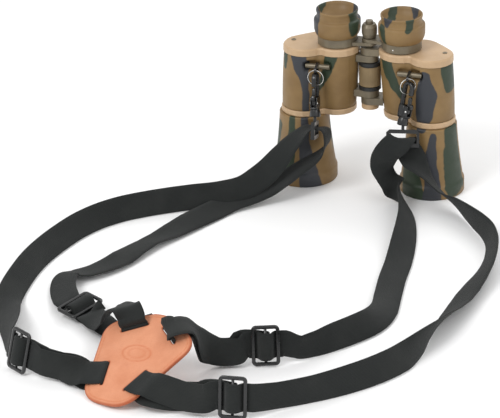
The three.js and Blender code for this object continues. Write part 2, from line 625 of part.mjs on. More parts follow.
// Each slide: its place, the way the webbing runs through it towards the yoke, and the way its width lies
// (the sign of face says which side of the band is up). over is the upper layer from the slide to the
// slot and under the sewn layer from the slot back to the slide.
const SLIDES = {
  lowerLeft: {
    at: [-193, -465, 19.5], along: [0.85, -0.52, 0], across: [-0.2, -0.2, -0.95], face: 1,
    over: [
      [-170, -475, 17, 0, -0.1, -1],
      [-150, -477, 15, 0.05, -0.1, -1],
      [-138, -478, 13.5, 0.05, -0.5, -0.85],
    ],
    under: [
      [-137, -473, 12.5, 0.05, -0.4, -0.9],
      [-150, -472, 14, 0.05, -0.1, -1],
      [-165, -471, 16, 0, -0.1, -1],
    ],
  },
  upperLeft: {
    at: [-178, -354, 10.5], along: [0.88, -0.45, -0.05], across: [-0.45, -0.88, -0.1], face: 1,
    over: [
      [-164, -366, 10, -0.5, -0.85, -0.1],
      [-153, -378, 11.5, -0.52, -0.78, -0.25],
      [-142, -390, 18, -0.48, -0.66, -0.5],
      [-132, -400, 30, -0.52, -0.62, -0.55],
      [-122, -411, 43, -0.72, -0.55, -0.35],
      [-112, -421, 51, -0.88, -0.38, -0.15],
      [-104, -428, 53, -0.96, -0.18, -0.16],
      [-99, -432, 47.5, -0.93, -0.14, -0.28],
    ],
    under: [
      [-102, -408, 32.5, -0.85, -0.45, -0.3],
      [-111, -402, 22, -0.7, -0.65, -0.2],
      [-123, -395, 12.5, -0.62, -0.75, -0.15],
      [-135, -386, 7, -0.6, -0.78, -0.1],
      [-148, -375, 5.5, -0.55, -0.82, -0.05],
    ],
  },
  upperRight: {
    at: [14, -404, 20], along: [-0.94, -0.33, 0], across: [0, 0.1, 0.99], face: 1,
    over: [
      [-6, -413, 17.5, 0, 0.1, 1],
      [-15, -417, 16, 0, 0.1, 1],
      [-28, -421, 18, 0, 0.2, 1],
      [-37, -428, 32, -0.3, 0.5, 0.7],
      [-44, -438, 49.5, -0.6, 0.75, 0.2],
      [-53, -448, 53, -0.64, 0.76, 0.14],
    ],
    under: [
      [-44, -430, 32, -0.5, 0.6, 0.5],
      [-37, -420, 19, -0.2, 0.3, 0.9],
      [-25, -413, 14, 0, 0.1, 1],
      [-12, -408, 15, 0, 0.1, 1],
    ],
  },
  lowerRight: {
    at: [14, -499, 19.5], along: [-0.99, -0.1, 0], across: [0, -0.2, -0.97], face: -1,
    over: [
      [-9, -502, 17, 0, -0.3, -0.95],
      [-28, -502, 16.5, -0.1, -0.4, -0.9],
      [-43, -501, 19, -0.3, -0.55, -0.75],
    ],
    under: [
      [-52, -501, 14, -0.25, -0.75, -0.6],
      [-40, -500, 14, -0.15, -0.55, -0.8],
      [-26, -497, 14, -0.1, -0.4, -0.9],
      [-14, -495, 15, 0, -0.3, -0.95],
    ],
  },
};

// Path of the webbing through a slide, as [along, up]: under the outer bars and over the centre bar.
const WEAVE = [
  [-17, -2.8], [-12.6, -2.8], [-9.2, -2.8], [-7.1, -1.4], [-5.4, 1.6], [-3.6, 4.2], [0, 5],
  [3.6, 4.2], [5.4, 1.6], [7.1, -1.4], [9.2, -2.8], [12.6, -2.8], [17, -2.8],
];
// The end that comes back under the slide, wraps its centre bar and is sewn to itself.
const SEWN_END = [
  [22, -6.9], [10, -6.9], [6.4, -5.9], [3, -4.2], [0, -2.9], [-2.6, -2.3], [-3.4, 0], [-2.7, 2.1],
  [0, 2.9], [2.6, 2.2], [4, 0], [6.6, -3.6], [10, -5.1], [22, -5.1],
];
// Paths at a yoke slot, as [outwards, up, sideways] from the slot's centre.
const SLOT_TURN = [[2.9, 2.85], [1.5, 2.5], [0.9, 1.2], [0.8, 0], [0.9, -1.2], [1.5, -2.5], [2.9, -2.85]];
const OVER_LEATHER = {
  lowerLeft: [[20, 5], [12, 3.5], [6, 2.8]],
  lowerRight: [[20, 3.2, -5], [12, 2.9, -2], [6, 2.8, -0.5]],
};
const UNDER_LEATHER = [[6, -2.8], [12, -3.4], [18, -4.6]];
const RISING = [[1.8, 9], [1.6, 5.5]]; // where the upper layer stands up out of the slot

const unit = (a) => v3(...a).normalize();

function slideAxes({ at, along, across, face }) {
  const t = unit(along);
  const w = unit(across);
  w.addScaledVector(t, -w.dot(t)).normalize();
  const n = w.clone().cross(t).multiplyScalar(face);
  return { o: v3(...at), t, w, n };
}

const onAxes = ({ o, t, n, w }, [along, up, sideways = 0]) => ({
  p: o.clone().addScaledVector(t, along).addScaledVector(n, up).addScaledVector(w, sideways),
  w,
});

function slotAxes(key) {
  const { x, y, turn, out } = SLOTS[key];
  const turnBy = (vx, vy, vz) => v3(vx, vy, vz).applyEuler(yokeFrame.rotation);
  return {
    o: v3(x, y, 0).applyMatrix4(yokeFrame.matrix),
    t: turnBy(out[0], out[1], 0),
    n: turnBy(0, 0, 1),
    w: turnBy(Math.cos(rad(turn)), Math.sin(rad(turn)), 0),
  };
}

const station = ([x, y, z, wx, wy, wz]) => ({ p: v3(x, y, z), w: unit([wx, wy, wz]) });

// From a hook's bar through the slide, round the slot and back to the slide's centre bar.
function strapHalf(key) {
  const slide = SLIDES[key];
  const axes = slideAxes(slide);
  const slot = slotAxes(key);
  return [
    ...RUNS[key].map(station),
    ...WEAVE.map((at) => onAxes(axes, at)),
    ...slide.over.map(station),
    ...(OVER_LEATHER[key] ?? RISING).map((at) => onAxes(slot, at)),
    ...SLOT_TURN.map((at) => onAxes(slot, at)),
    ...UNDER_LEATHER.map((at) => onAxes(slot, at)),
    ...slide.under.map(station),
    ...SEWN_END.map((at) => onAxes(axes, at)),
  ];
}

// A flat band swept along its stations.
function ribbon(stations, step) {
  const curve = new THREE.CatmullRomCurve3(stations.map((s) => s.p), false, "centripetal");
  const rings = [];
  const last = stations.length - 1;
  for (let i = 0; i < last; i++) {
    const length = stations[i].p.distanceTo(stations[i + 1].p);
    const parts = Math.max(1, Math.round(length / step));
    for (let k = 0; k < parts + (i === last - 1 ? 1 : 0); k++) {
      const share = k / parts;
      const at = (i + share) / last;
      const tangent = curve.getTangent(at);
      const w = stations[i].w.clone().lerp(stations[i + 1].w, share);
      w.addScaledVector(tangent, -w.dot(tangent)).setLength(WEB.width / 2);
      const n = w.clone().cross(tangent).setLength(WEB.thick / 2);
      const p = curve.getPoint(at);
      rings.push([
        p.clone().add(w).add(n), p.clone().sub(w).add(n), p.clone().sub(w).sub(n),
        p.clone().add(w).sub(n),
      ]);
    }
  }
  const index = [];
  for (let k = 0; k + 1 < rings.length; k++)
    for (let i = 0; i < 4; i++) {
      const j = (i + 1) % 4;
      const [a, b, c, d] = [k * 4 + i, k * 4 + j, k * 4 + 4 + j, k * 4 + 4 + i];
      index.push(a, b, c, a, c, d);
    }
  const end = (rings.length - 1) * 4;
  index.push(0, 2, 1, 0, 3, 2, end, end + 1, end + 2, end, end + 2, end + 3);
  const g = new THREE.BufferGeometry();
  g.setAttribute("position", new THREE.Float32BufferAttribute(
    rings.flat().flatMap((p) => [p.x, p.y, p.z]), 3));
  g.setIndex(index);
  return facingOut(g);
}

// Turns a closed geometry's faces out when they point in.
function facingOut(g) {
  if (solid(g).volume() > 0) return g;
  const a = g.index.array;
  for (let i = 0; i < a.length; i += 3) [a[i], a[i + 1]] = [a[i + 1], a[i]];
  return g;
}

function straps() {
  const whole = (first, second) => [
    ...strapHalf(first).reverse(),
    ...strapHalf(second).slice(1),
  ];
  add("strap_left", ribbon(whole("upperLeft", "lowerLeft"), 12), WEBBING);
  add("strap_right", ribbon(whole("upperRight", "lowerRight"), 12), WEBBING);
}

function triGlide(key, name) {
  const { o, t, w, n } = slideAxes(SLIDES[key]);
  const frame = new THREE.Matrix4().makeBasis(t, n.clone().cross(t), n).setPosition(o);
  const L = SLIDE.length / 2;
  const W = SLIDE.width / 2;
  const corner = 3;
  const s = new THREE.Shape();
  s.absarc(L - corner, W - corner, corner, 0, Math.PI / 2, false);
  s.absarc(-L + corner, W - corner, corner, Math.PI / 2, Math.PI, false);
  s.absarc(-L + corner, -W + corner, corner, Math.PI, 1.5 * Math.PI, false);
  s.absarc(L - corner, -W + corner, corner, -Math.PI / 2, 0, false);
  s.closePath();
  const reach = WEB.width / 2 + 1;
  const slots = [-1, 1].map((side) => {
    const edges = [side * (L - SLIDE.outerBar), side * (L - SLIDE.outerBar - SLIDE.slot)];
    return block(Math.min(...edges), Math.max(...edges), -reach, reach, -5, 5);
  });
  const half = SLIDE.thick / 2;
  add(`slide_${name}`, cut(plate(s, -half, half, 4), ...slots).applyMatrix4(frame), PLASTIC);
}

// ---- assembly ----------------------------------------------------------------------------------
telescope(-1, "left");
telescope(1, "right");
eyepiece(-1, "left");
eyepiece(1, "right");
dioptreRing();
hingeAndFocus();
focusGrip();
bridge();
lugLoopAndRing(-1, "left", 0);
lugLoopAndRing(1, "right", rad(35));
snapHook("left", -1, -3, -90, new THREE.Euler(rad(-18.5), rad(-3), rad(98), "XYZ"));
snapHook("right", 1, 6, -30, new THREE.Euler(rad(-22), rad(3), rad(18), "ZXY"));
yoke();
straps();
triGlide("lowerLeft", "lower_left");
triGlide("upperLeft", "upper_left");
triGlide("upperRight", "upper_right");
triGlide("lowerRight", "lower_right");

// The origin is the middle of the underside of everything but the two straps.
model.updateMatrixWorld(true);
const box = new THREE.Box3();
model.traverse((o) => {
  if (o.isMesh && o.name !== "strap_left" && o.name !== "strap_right")
    box.expandByObject(o, true);
});
const centre = box.getCenter(v3(0, 0, 0));
model.position.set(-centre.x, -centre.y, -box.min.z);

export default model;
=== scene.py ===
"""Looks of the binocular harness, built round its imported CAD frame. Metres, +Z up.

Shape tables are measured from the hinge axis on the surface; HINGE moves them into the row frame.
"""

import json
import math

import bmesh
import bpy
import numpy as np
from mathutils import Matrix, Vector


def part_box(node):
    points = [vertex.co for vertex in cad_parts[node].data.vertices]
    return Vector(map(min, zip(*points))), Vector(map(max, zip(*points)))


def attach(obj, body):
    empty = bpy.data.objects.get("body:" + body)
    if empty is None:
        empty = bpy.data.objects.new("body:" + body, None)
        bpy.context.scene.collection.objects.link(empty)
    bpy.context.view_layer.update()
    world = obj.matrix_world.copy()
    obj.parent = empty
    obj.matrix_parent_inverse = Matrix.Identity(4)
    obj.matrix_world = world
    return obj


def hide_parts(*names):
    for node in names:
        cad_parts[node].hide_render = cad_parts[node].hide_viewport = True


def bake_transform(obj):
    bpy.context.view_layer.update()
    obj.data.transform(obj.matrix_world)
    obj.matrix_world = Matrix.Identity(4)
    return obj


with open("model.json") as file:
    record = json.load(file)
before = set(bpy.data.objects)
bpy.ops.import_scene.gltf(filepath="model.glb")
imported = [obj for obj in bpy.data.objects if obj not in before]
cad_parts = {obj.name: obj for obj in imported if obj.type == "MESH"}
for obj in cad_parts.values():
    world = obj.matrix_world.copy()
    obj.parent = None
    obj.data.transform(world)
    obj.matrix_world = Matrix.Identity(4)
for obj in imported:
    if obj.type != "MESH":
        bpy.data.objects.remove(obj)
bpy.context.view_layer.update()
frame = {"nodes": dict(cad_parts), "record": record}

MM = 0.001
ROOT = "left_half_and_harness"
SIDES = {"left": -1, "right": 1}
HALF_BODY = {"left": ROOT, "right": "right_half"}

low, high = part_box("hinge_pin")
HINGE = Vector(((low.x + high.x) / 2, (low.y + high.y) / 2, 0))

# ---- the same driving dimensions as the CAD, in metres ----
EYE_X = 0.0325
OBJ_X, OBJ_Y = 0.065, -0.01
Z_BARREL_TOP, Z_COVER_TOP = 0.0717, 0.142
WALL = 0.0026
LUG = Vector((0.0465, -0.0235, 0.1245))
RING_Y, RING_Z, RING_R, RING_WIRE = -0.0312, 0.1154, 0.00785, 0.00065
HOOK_Y, HOOK_Z, HOOK_LEAN = -0.0324, 0.1076, 17
HOOK_TURNS = {"left": (-3, -90), "right": (6, -30)}  # sideways lean and body turn, degrees
GATE_PIVOT = (0.0044, 0.091)
WEB_WIDTH, WEB_THICK = 0.0254, 0.0014
YOKE_PLACE = Vector((-0.085, -0.461, 0.0272))
YOKE_TURN = (
    Matrix.Rotation(math.radians(-18), 3, "Z")
    @ Matrix.Rotation(math.radians(26), 3, "X")
    @ Matrix.Rotation(math.radians(-7), 3, "Y")
)
BAND_CLEARANCE = 0.0002  # least height of the band's edge above the floor
YOKE_THICK = 0.003
# Slots of the yoke: centre, direction in degrees and the way out of the yoke. The leather closes up round
# the band, so these slots are smaller than the CAD's and shifted outwards.
SLOT_LENGTH, SLOT_WIDTH, SLOT_SHIFT = 0.0264, 0.0024, 0.0009
SLOTS = {
    "upper_left": (-0.019, 0.0255, 212, (-0.53, 0.848)),
    "upper_right": (0.019, 0.0255, 148, (0.53, 0.848)),
    "lower_right": (0.0165, -0.0258, 250, (0.94, -0.342)),
    "lower_left": (-0.0165, -0.0258, 290, (-0.94, -0.342)),
}

# ---- routes of the webbing: middle of the band and the way its width lies ----
RUNS = {
    "lower_left": [
        (-0.0443, -0.0451, 0.0675, -0.14, 0.94, -0.32), (-0.0478, -0.0457, 0.0674, -0.2, 0.94, -0.2),
        (-0.0535, -0.047, 0.065, -0.35, 0.92, 0), (-0.0606, -0.0495, 0.0585, -0.5, 0.85, 0.15),
        (-0.068, -0.0545, 0.051, -0.54, 0.77, 0.33), (-0.075, -0.0615, 0.042, -0.57, 0.62, 0.5),
        (-0.084, -0.072, 0.031, -0.6, 0.4, 0.65), (-0.093, -0.082, 0.024, -0.5, 0.25, 0.8),
        (-0.105, -0.094, 0.018, -0.35, 0.15, 0.92), (-0.126, -0.107, 0.0155, -0.2, 0.15, 0.95),
        (-0.149, -0.117, 0.0142, -0.2, 0.3, 0.92), (-0.17, -0.128, 0.0134, -0.2, 0.28, 0.93),
        (-0.19, -0.142, 0.0133, -0.25, 0.25, 0.93), (-0.209, -0.157, 0.0127, -0.35, 0.25, 0.9),
        (-0.224, -0.176, 0.0126, -0.42, 0.2, 0.88), (-0.236, -0.199, 0.0122, -0.5, 0.2, 0.84),
        (-0.244, -0.225, 0.0118, -0.55, 0.18, 0.81), (-0.25, -0.254, 0.0115, -0.6, 0.1, 0.78),
        (-0.253, -0.283, 0.011, -0.68, 0.05, 0.73), (-0.253, -0.312, 0.0095, -0.78, 0, 0.62),
        (-0.252, -0.334, 0.0075, -0.9, 0, 0.43), (-0.249, -0.352, 0.006, -0.98, 0.1, 0.1),
        (-0.242, -0.371, 0.007, -0.93, 0.2, -0.28), (-0.229, -0.399, 0.011, -0.8, 0.05, -0.58),
        (-0.217, -0.426, 0.015, -0.5, -0.15, -0.85), (-0.209, -0.447, 0.0185, -0.2, -0.2, -0.95),
    ],
    "upper_left": [
        (-0.0443, -0.0451, 0.0675, -0.14, 0.94, -0.32), (-0.0408, -0.0448, 0.068, -0.14, 0.94, -0.32),
        (-0.0355, -0.0448, 0.068, -0.1, 0.95, -0.25), (-0.032, -0.045, 0.064, 0, 0.98, -0.15),
        (-0.031, -0.0455, 0.0575, 0, 1, 0), (-0.0325, -0.046, 0.0515, 0, 1, 0),
        (-0.036, -0.0475, 0.045, -0.1, 0.98, 0.1), (-0.041, -0.0495, 0.0395, -0.2, 0.95, 0.1),
        (-0.047, -0.052, 0.035, -0.3, 0.93, 0.1), (-0.055, -0.056, 0.03, -0.35, 0.9, 0.15),
        (-0.063, -0.0615, 0.025, -0.38, 0.9, 0.18), (-0.07, -0.068, 0.0205, -0.38, 0.88, 0.22),
        (-0.081, -0.076, 0.014, -0.4, 0.86, 0.28), (-0.094, -0.086, 0.0095, -0.42, 0.85, 0.28),
        (-0.115, -0.106, 0.006, -0.45, 0.85, 0.25), (-0.128, -0.131, 0.006, -0.5, 0.8, 0.28),
        (-0.14, -0.155, 0.006, -0.6, 0.75, 0.25), (-0.15, -0.175, 0.005, -0.7, 0.65, 0.12),
        (-0.158, -0.19, 0.0045, -0.8, 0.55, -0.08), (-0.165, -0.205, 0.0048, -0.82, 0.5, -0.15),
        (-0.171, -0.223, 0.0052, -0.85, 0.45, -0.05), (-0.177, -0.243, 0.0055, -0.85, 0.45, 0.12),
        (-0.185, -0.259, 0.005, -0.8, 0.55, 0), (-0.193, -0.271, 0.005, -0.7, 0.7, -0.1),
        (-0.2, -0.279, 0.005, -0.65, 0.75, -0.12), (-0.2065, -0.285, 0.006, -0.7, 0.7, -0.2),
        (-0.212, -0.2895, 0.0075, -0.9, 0.3, -0.25), (-0.2135, -0.298, 0.0075, -0.96, -0.1, -0.25),
        (-0.211, -0.311, 0.0075, -0.9, -0.3, -0.28), (-0.205, -0.326, 0.008, -0.85, -0.42, -0.28),
        (-0.199, -0.337, 0.0085, -0.7, -0.65, -0.22),
    ],
    "upper_right": [
        (0.045, -0.0465, 0.0666, 0.95, 0.3, -0.05), (0.0456, -0.05, 0.0674, 0.95, 0.3, -0.05),
        (0.0435, -0.0546, 0.066, 0.96, 0.25, 0), (0.0375, -0.0576, 0.0615, 0.95, 0.15, 0.2),
        (0.032, -0.058, 0.055, 0.92, 0.05, 0.3), (0.0285, -0.0565, 0.048, 0.9, 0, 0.3),
        (0.027, -0.054, 0.04, 0.85, 0.4, 0.1), (0.0285, -0.053, 0.031, 0.5, 0.85, 0.1),
        (0.033, -0.052, 0.022, 0.2, 0.85, 0.5), (0.041, -0.054, 0.015, -0.1, 0.3, 0.95),
        (0.052, -0.071, 0.013, -0.45, -0.15, 0.87), (0.059, -0.088, 0.0115, -0.55, -0.25, 0.8),
        (0.0645, -0.106, 0.0105, -0.62, -0.28, 0.73), (0.069, -0.128, 0.009, -0.75, -0.25, 0.6),
        (0.073, -0.155, 0.0065, -0.88, -0.2, 0.4), (0.077, -0.188, 0.004, -0.97, -0.15, 0.18),
        (0.08, -0.221, 0.004, -0.97, -0.15, 0.16), (0.085, -0.256, 0.0045, -0.96, -0.15, 0.2),
        (0.09, -0.29, 0.0073, -0.9, -0.05, 0.42), (0.088, -0.317, 0.0108, -0.68, 0.14, 0.72),
        (0.078, -0.34, 0.0127, -0.4, 0.3, 0.86), (0.064, -0.361, 0.0132, -0.3, 0.2, 0.93),
        (0.051, -0.379, 0.0137, -0.1, -0.1, 0.98), (0.04, -0.392, 0.016, 0, -0.25, 0.95),
    ],
    "lower_right": [
        (0.045, -0.0465, 0.0666, 0.95, 0.3, -0.05), (0.0444, -0.044, 0.0653, 0.95, 0.3, -0.05),
        (0.0455, -0.0426, 0.061, 0.96, 0.25, 0), (0.0495, -0.0434, 0.054, 0.96, 0.1, 0.05),
        (0.056, -0.0465, 0.046, 0.85, 0.25, 0), (0.064, -0.0505, 0.0385, 0.6, 0.65, -0.3),
        (0.0715, -0.054, 0.0315, 0.2, 0.88, -0.38), (0.0805, -0.0575, 0.0235, 0, 0.9, -0.42),
        (0.0885, -0.0595, 0.0175, 0.15, 0.8, -0.55), (0.0975, -0.0655, 0.0145, 0.3, 0.6, -0.73),
        (0.111, -0.078, 0.0135, 0.25, 0.25, -0.93), (0.126, -0.095, 0.0136, 0.08, 0.08, -0.99),
        (0.139, -0.11, 0.0136, -0.05, -0.02, -0.99), (0.15, -0.127, 0.0133, -0.25, -0.1, -0.96),
        (0.157, -0.148, 0.0125, -0.45, -0.15, -0.88), (0.16, -0.17, 0.011, -0.6, -0.1, -0.78),
        (0.16, -0.192, 0.0095, -0.75, 0, -0.65), (0.1575, -0.214, 0.0075, -0.87, 0.05, -0.48),
        (0.155, -0.236, 0.0065, -0.92, 0.1, -0.38), (0.153, -0.258, 0.007, -0.9, 0.1, -0.42),
        (0.15, -0.282, 0.0085, -0.82, 0, -0.55), (0.1475, -0.306, 0.011, -0.62, -0.1, -0.78),
        (0.145, -0.33, 0.0128, -0.35, -0.1, -0.93), (0.1405, -0.354, 0.0133, 0.05, -0.1, -0.98),
        (0.132, -0.38, 0.0125, 0.4, -0.28, -0.86), (0.118, -0.405, 0.0125, 0.38, -0.3, -0.87),
        (0.097, -0.432, 0.0129, 0.25, -0.2, -0.93), (0.072, -0.457, 0.0134, 0.1, -0.05, -0.98),
        (0.046, -0.48, 0.0155, 0, -0.05, -1),
    ],
}
SLIDES = {
    "lower_left": {
        "at": (-0.193, -0.465, 0.0195), "along": (0.85, -0.52, 0), "across": (-0.2, -0.2, -0.95), "face": 1,
        "over": [
            (-0.17, -0.475, 0.017, 0, -0.1, -1), (-0.15, -0.477, 0.015, 0.05, -0.1, -1),
            (-0.138, -0.478, 0.0135, 0.05, -0.5, -0.85),
        ],
        "under": [
            (-0.137, -0.473, 0.0125, 0.05, -0.4, -0.9), (-0.15, -0.472, 0.014, 0.05, -0.1, -1),
            (-0.165, -0.471, 0.016, 0, -0.1, -1),
        ],
    },
    "upper_left": {
        "at": (-0.178, -0.354, 0.0105), "along": (0.88, -0.45, -0.05),
        "across": (-0.45, -0.88, -0.1), "face": 1,
        "over": [
            (-0.164, -0.366, 0.01, -0.5, -0.85, -0.1), (-0.153, -0.378, 0.0115, -0.52, -0.78, -0.25),
            (-0.142, -0.39, 0.018, -0.48, -0.66, -0.5), (-0.132, -0.4, 0.03, -0.52, -0.62, -0.55),
            (-0.122, -0.411, 0.043, -0.72, -0.55, -0.35), (-0.112, -0.421, 0.051, -0.88, -0.38, -0.15),
            (-0.104, -0.428, 0.053, -0.96, -0.18, -0.16), (-0.099, -0.432, 0.0475, -0.93, -0.14, -0.28),
        ],
        "under": [
            (-0.102, -0.408, 0.0325, -0.85, -0.45, -0.3), (-0.111, -0.402, 0.022, -0.7, -0.65, -0.2),
            (-0.123, -0.395, 0.0125, -0.62, -0.75, -0.15), (-0.135, -0.386, 0.007, -0.6, -0.78, -0.1),
            (-0.148, -0.375, 0.0055, -0.55, -0.82, -0.05),
        ],
    },
    "upper_right": {
        "at": (0.014, -0.404, 0.02), "along": (-0.94, -0.33, 0), "across": (0, 0.1, 0.99), "face": 1,
        "over": [
            (-0.006, -0.413, 0.0175, 0, 0.1, 1), (-0.015, -0.417, 0.016, 0, 0.1, 1),
            (-0.028, -0.421, 0.018, 0, 0.2, 1), (-0.037, -0.428, 0.032, -0.3, 0.5, 0.7),
            (-0.044, -0.438, 0.0495, -0.6, 0.75, 0.2), (-0.053, -0.448, 0.053, -0.64, 0.76, 0.14),
        ],
        "under": [
            (-0.044, -0.43, 0.032, -0.5, 0.6, 0.5), (-0.037, -0.42, 0.019, -0.2, 0.3, 0.9),
            (-0.025, -0.413, 0.014, 0, 0.1, 1), (-0.012, -0.408, 0.015, 0, 0.1, 1),
        ],
    },
    "lower_right": {
        "at": (0.014, -0.499, 0.0195), "along": (-0.99, -0.1, 0), "across": (0, -0.2, -0.97), "face": -1,
        "over": [
            (-0.009, -0.502, 0.017, 0, -0.3, -0.95), (-0.028, -0.502, 0.0165, -0.1, -0.4, -0.9),
            (-0.043, -0.501, 0.019, -0.3, -0.55, -0.75),
        ],
        "under": [
            (-0.052, -0.501, 0.014, -0.25, -0.75, -0.6), (-0.04, -0.5, 0.014, -0.15, -0.55, -0.8),
            (-0.026, -0.497, 0.014, -0.1, -0.4, -0.9), (-0.014, -0.495, 0.015, 0, -0.3, -0.95),
        ],
    },
}
# The band through a slide as (along, up): under the outer bars and over the centre bar.
WEAVE = [
    (-0.017, -0.0028), (-0.0126, -0.0028), (-0.0092, -0.0028), (-0.0071, -0.0014), (-0.0054, 0.0016),
    (-0.0036, 0.0042), (0, 0.005), (0.0036, 0.0042), (0.0054, 0.0016), (0.0071, -0.0014),
    (0.0092, -0.0028), (0.0126, -0.0028), (0.017, -0.0028),
]
# The end that comes back under the slide, wraps its centre bar and is sewn to itself.
SEWN_END = [
    (0.022, -0.0069), (0.01, -0.0069), (0.0064, -0.0059), (0.003, -0.0042), (0, -0.0029),
    (-0.0026, -0.0023), (-0.0034, 0), (-0.0027, 0.0021), (0, 0.0029), (0.0026, 0.0022), (0.004, 0),
    (0.0066, -0.0036), (0.01, -0.0051), (0.022, -0.0051),
]
# The turn round a slot's edge as (outwards, up).
SLOT_TURN = [
    (0.0029, 0.0029), (0.0015, 0.0025), (0.0009, 0.0012), (0.0008, 0), (0.0009, -0.0012),
    (0.0015, -0.0025), (0.0029, -0.0029),
]
# The lower layer leaving the slot under the leather.
UNDER_LEATHER = [
    (0.006, -0.0028), (0.012, -0.0034), (0.018, -0.0046),
]
# The upper layer where it stands up out of an upper slot.
RISING = [
    (0.0018, 0.009), (0.0016, 0.0055),
]
# The upper layer lying over the leather, as (outwards, up, sideways).
OVER_LEATHER = {
    "lower_left": [(0.02, 0.005), (0.012, 0.0035), (0.006, 0.0028)],
    "lower_right": [(0.02, 0.0032, -0.005), (0.012, 0.0029, -0.002), (0.006, 0.0028, -0.0005)],
}

# ---- camera ----
def linked(name, data):
    """A new object in the scene."""
    made = bpy.data.objects.new(name, data)
    bpy.context.scene.collection.objects.link(made)
    return made


CAMERA_ANGLES = (18.1, 25.3, -1.8)  # azimuth, elevation and roll, degrees
CAMERA_TARGET = Vector((-0.0794, -0.15, 0.0244))
CAMERA_DISTANCE, CAMERA_LENS = 2.7, 202.75


def make_camera():
    azimuth, elevation, roll = (math.radians(a) for a in CAMERA_ANGLES)
    target = HINGE + CAMERA_TARGET
    back = Vector((
        math.sin(azimuth) * math.cos(elevation),
        -math.cos(azimuth) * math.cos(elevation),
        math.sin(elevation),
    ))
    right = Vector((math.cos(azimuth), math.sin(azimuth), 0))
    up = back.cross(right)
    rolled_right = math.cos(roll) * right + math.sin(roll) * up
    rolled_up = math.cos(roll) * up - math.sin(roll) * right
    data = bpy.data.cameras.new("camera")
    data.sensor_width = 36
    data.lens = CAMERA_LENS
    data.clip_start, data.clip_end = 0.05, 50
    camera = linked("camera", data)
    axes = Matrix((rolled_right, rolled_up, back)).transposed()
    camera.matrix_world = Matrix.Translation(target + back * CAMERA_DISTANCE) @ axes.to_4x4()
    bpy.context.scene.camera = camera


# ---- node helpers ----
class Nodes:
    """A material's node tree with short calls for what the finishes need."""

    def __init__(self, name):
        self.material = bpy.data.materials.new(name)
        self.material.use_nodes = True
        self.tree = self.material.node_tree
        self.shader = self.tree.nodes["Principled BSDF"]
        coordinates = self.tree.nodes.new("ShaderNodeTexCoord")
        self.place = coordinates.outputs["Object"]

    def node(self, kind, **values):
        made = self.tree.nodes.new("ShaderNode" + kind)
        self.fill(made, values)
        return made

    def set(self, **values):
        self.fill(self.shader, values)
        return self

    def fill(self, node, values):
        for key, value in values.items():
            node.inputs[key.replace("_", " ")].default_value = value

    def link(self, a, b):
        self.tree.links.new(a, b)

    def math(self, operation, *values):
        node = self.node("Math")
        node.operation = operation
        for socket, value in zip(node.inputs, values):
            if isinstance(value, (int, float)):
                socket.default_value = value
            else:
                self.link(value, socket)
        return node.outputs[0]

    def noise(self, scale, detail=3.0, stretch=None, roughness=0.5):
        node = self.node("TexNoise", Scale=scale, Detail=detail, Roughness=roughness)
        source = self.place
        if stretch:
            mapping = self.node("Mapping", Scale=stretch)
            self.link(source, mapping.inputs["Vector"])
            source = mapping.outputs[0]
        self.link(source, node.inputs["Vector"])
        return node.outputs["Fac"]

    def cells(self, scale):
        node = self.node("TexVoronoi", Scale=scale)
        node.feature = "DISTANCE_TO_EDGE"
        self.link(self.place, node.inputs["Vector"])
        return node.outputs["Distance"]

    def attribute(self, name, output="Fac"):
        node = self.node("Attribute")
        node.attribute_name = name
        return node.outputs[output]

    def ramp(self, fac, low, high, out_low=0.0, out_high=1.0):
        node = self.node("MapRange", From_Min=low, From_Max=high, To_Min=out_low, To_Max=out_high)
        self.link(fac, node.inputs["Value"])
        return node.outputs["Result"]

    def mix(self, fac, a, b):
        node = self.node("Mix")
        node.data_type = "RGBA"
        self.link(fac, node.inputs["Factor"])
        for socket, value in ((node.inputs[6], a), (node.inputs[7], b)):
            if isinstance(value, tuple):
                socket.default_value = (*value, 1)
            else:
                self.link(value, socket)
        return node.outputs[2]

    def colour(self, socket):
        self.link(socket, self.shader.inputs["Base Color"])

    def rough(self, fac, low, high):
        self.link(self.ramp(fac, 0.25, 0.75, low, high), self.shader.inputs["Roughness"])

    def bump(self, height, depth):
        node = self.node("Bump", Distance=depth, Strength=1.0)
        self.link(height, node.inputs["Height"])
        previous = self.shader.inputs["Normal"]
        if previous.is_linked:
            self.link(previous.links[0].from_socket, node.inputs["Normal"])
        self.link(node.outputs["Normal"], previous)


# ---- materials ----
ARMOUR_BROWN = (0.245, 0.152, 0.058)
ARMOUR_BROWN_DARK = (0.2, 0.12, 0.044)
PATCH_GREEN = (0.024, 0.04, 0.021)
PATCH_CHARCOAL = (0.034, 0.037, 0.044)


def moulded(name, light, dark, roughness, bump_scale, bump_depth, metallic=0.0, coat=0.0):
    """A painted or moulded finish: blotchy colour, fine pebble and uneven gloss."""
    n = Nodes(name)
    blotch = n.noise(38, 4)
    n.colour(n.mix(n.ramp(blotch, 0.35, 0.65), dark, light))
    n.rough(n.noise(120, 3), roughness - 0.06, roughness + 0.08)
    n.bump(n.noise(bump_scale, 4), bump_depth)
    n.set(Metallic=metallic)
    if coat:
        n.set(Coat_Weight=coat, Coat_Roughness=0.12)
    return n.material


def camouflage():
    """Rubber armour: brown with green and charcoal patches whose outlines the meshes carry."""
    n = Nodes("camouflage_rubber")
    wobble = n.math("MULTIPLY", n.math("SUBTRACT", n.noise(160, 2, (1, 1, 0.6)), 0.5), 3.0)
    base = n.mix(n.ramp(n.noise(45, 4), 0.35, 0.65), ARMOUR_BROWN_DARK, ARMOUR_BROWN)
    for name, colour in (("green", PATCH_GREEN), ("charcoal", PATCH_CHARCOAL)):
        edge = n.math("ADD", n.attribute(name), wobble)
        base = n.mix(n.ramp(edge, 0.45, -0.45), base, colour)
    n.colour(base)
    n.rough(n.noise(150, 3), 0.42, 0.58)
    n.bump(n.noise(2600, 3), 0.00006)
    n.bump(n.noise(220, 2), 0.0001)
    n.set(Specular_IOR_Level=0.45)
    return n.material


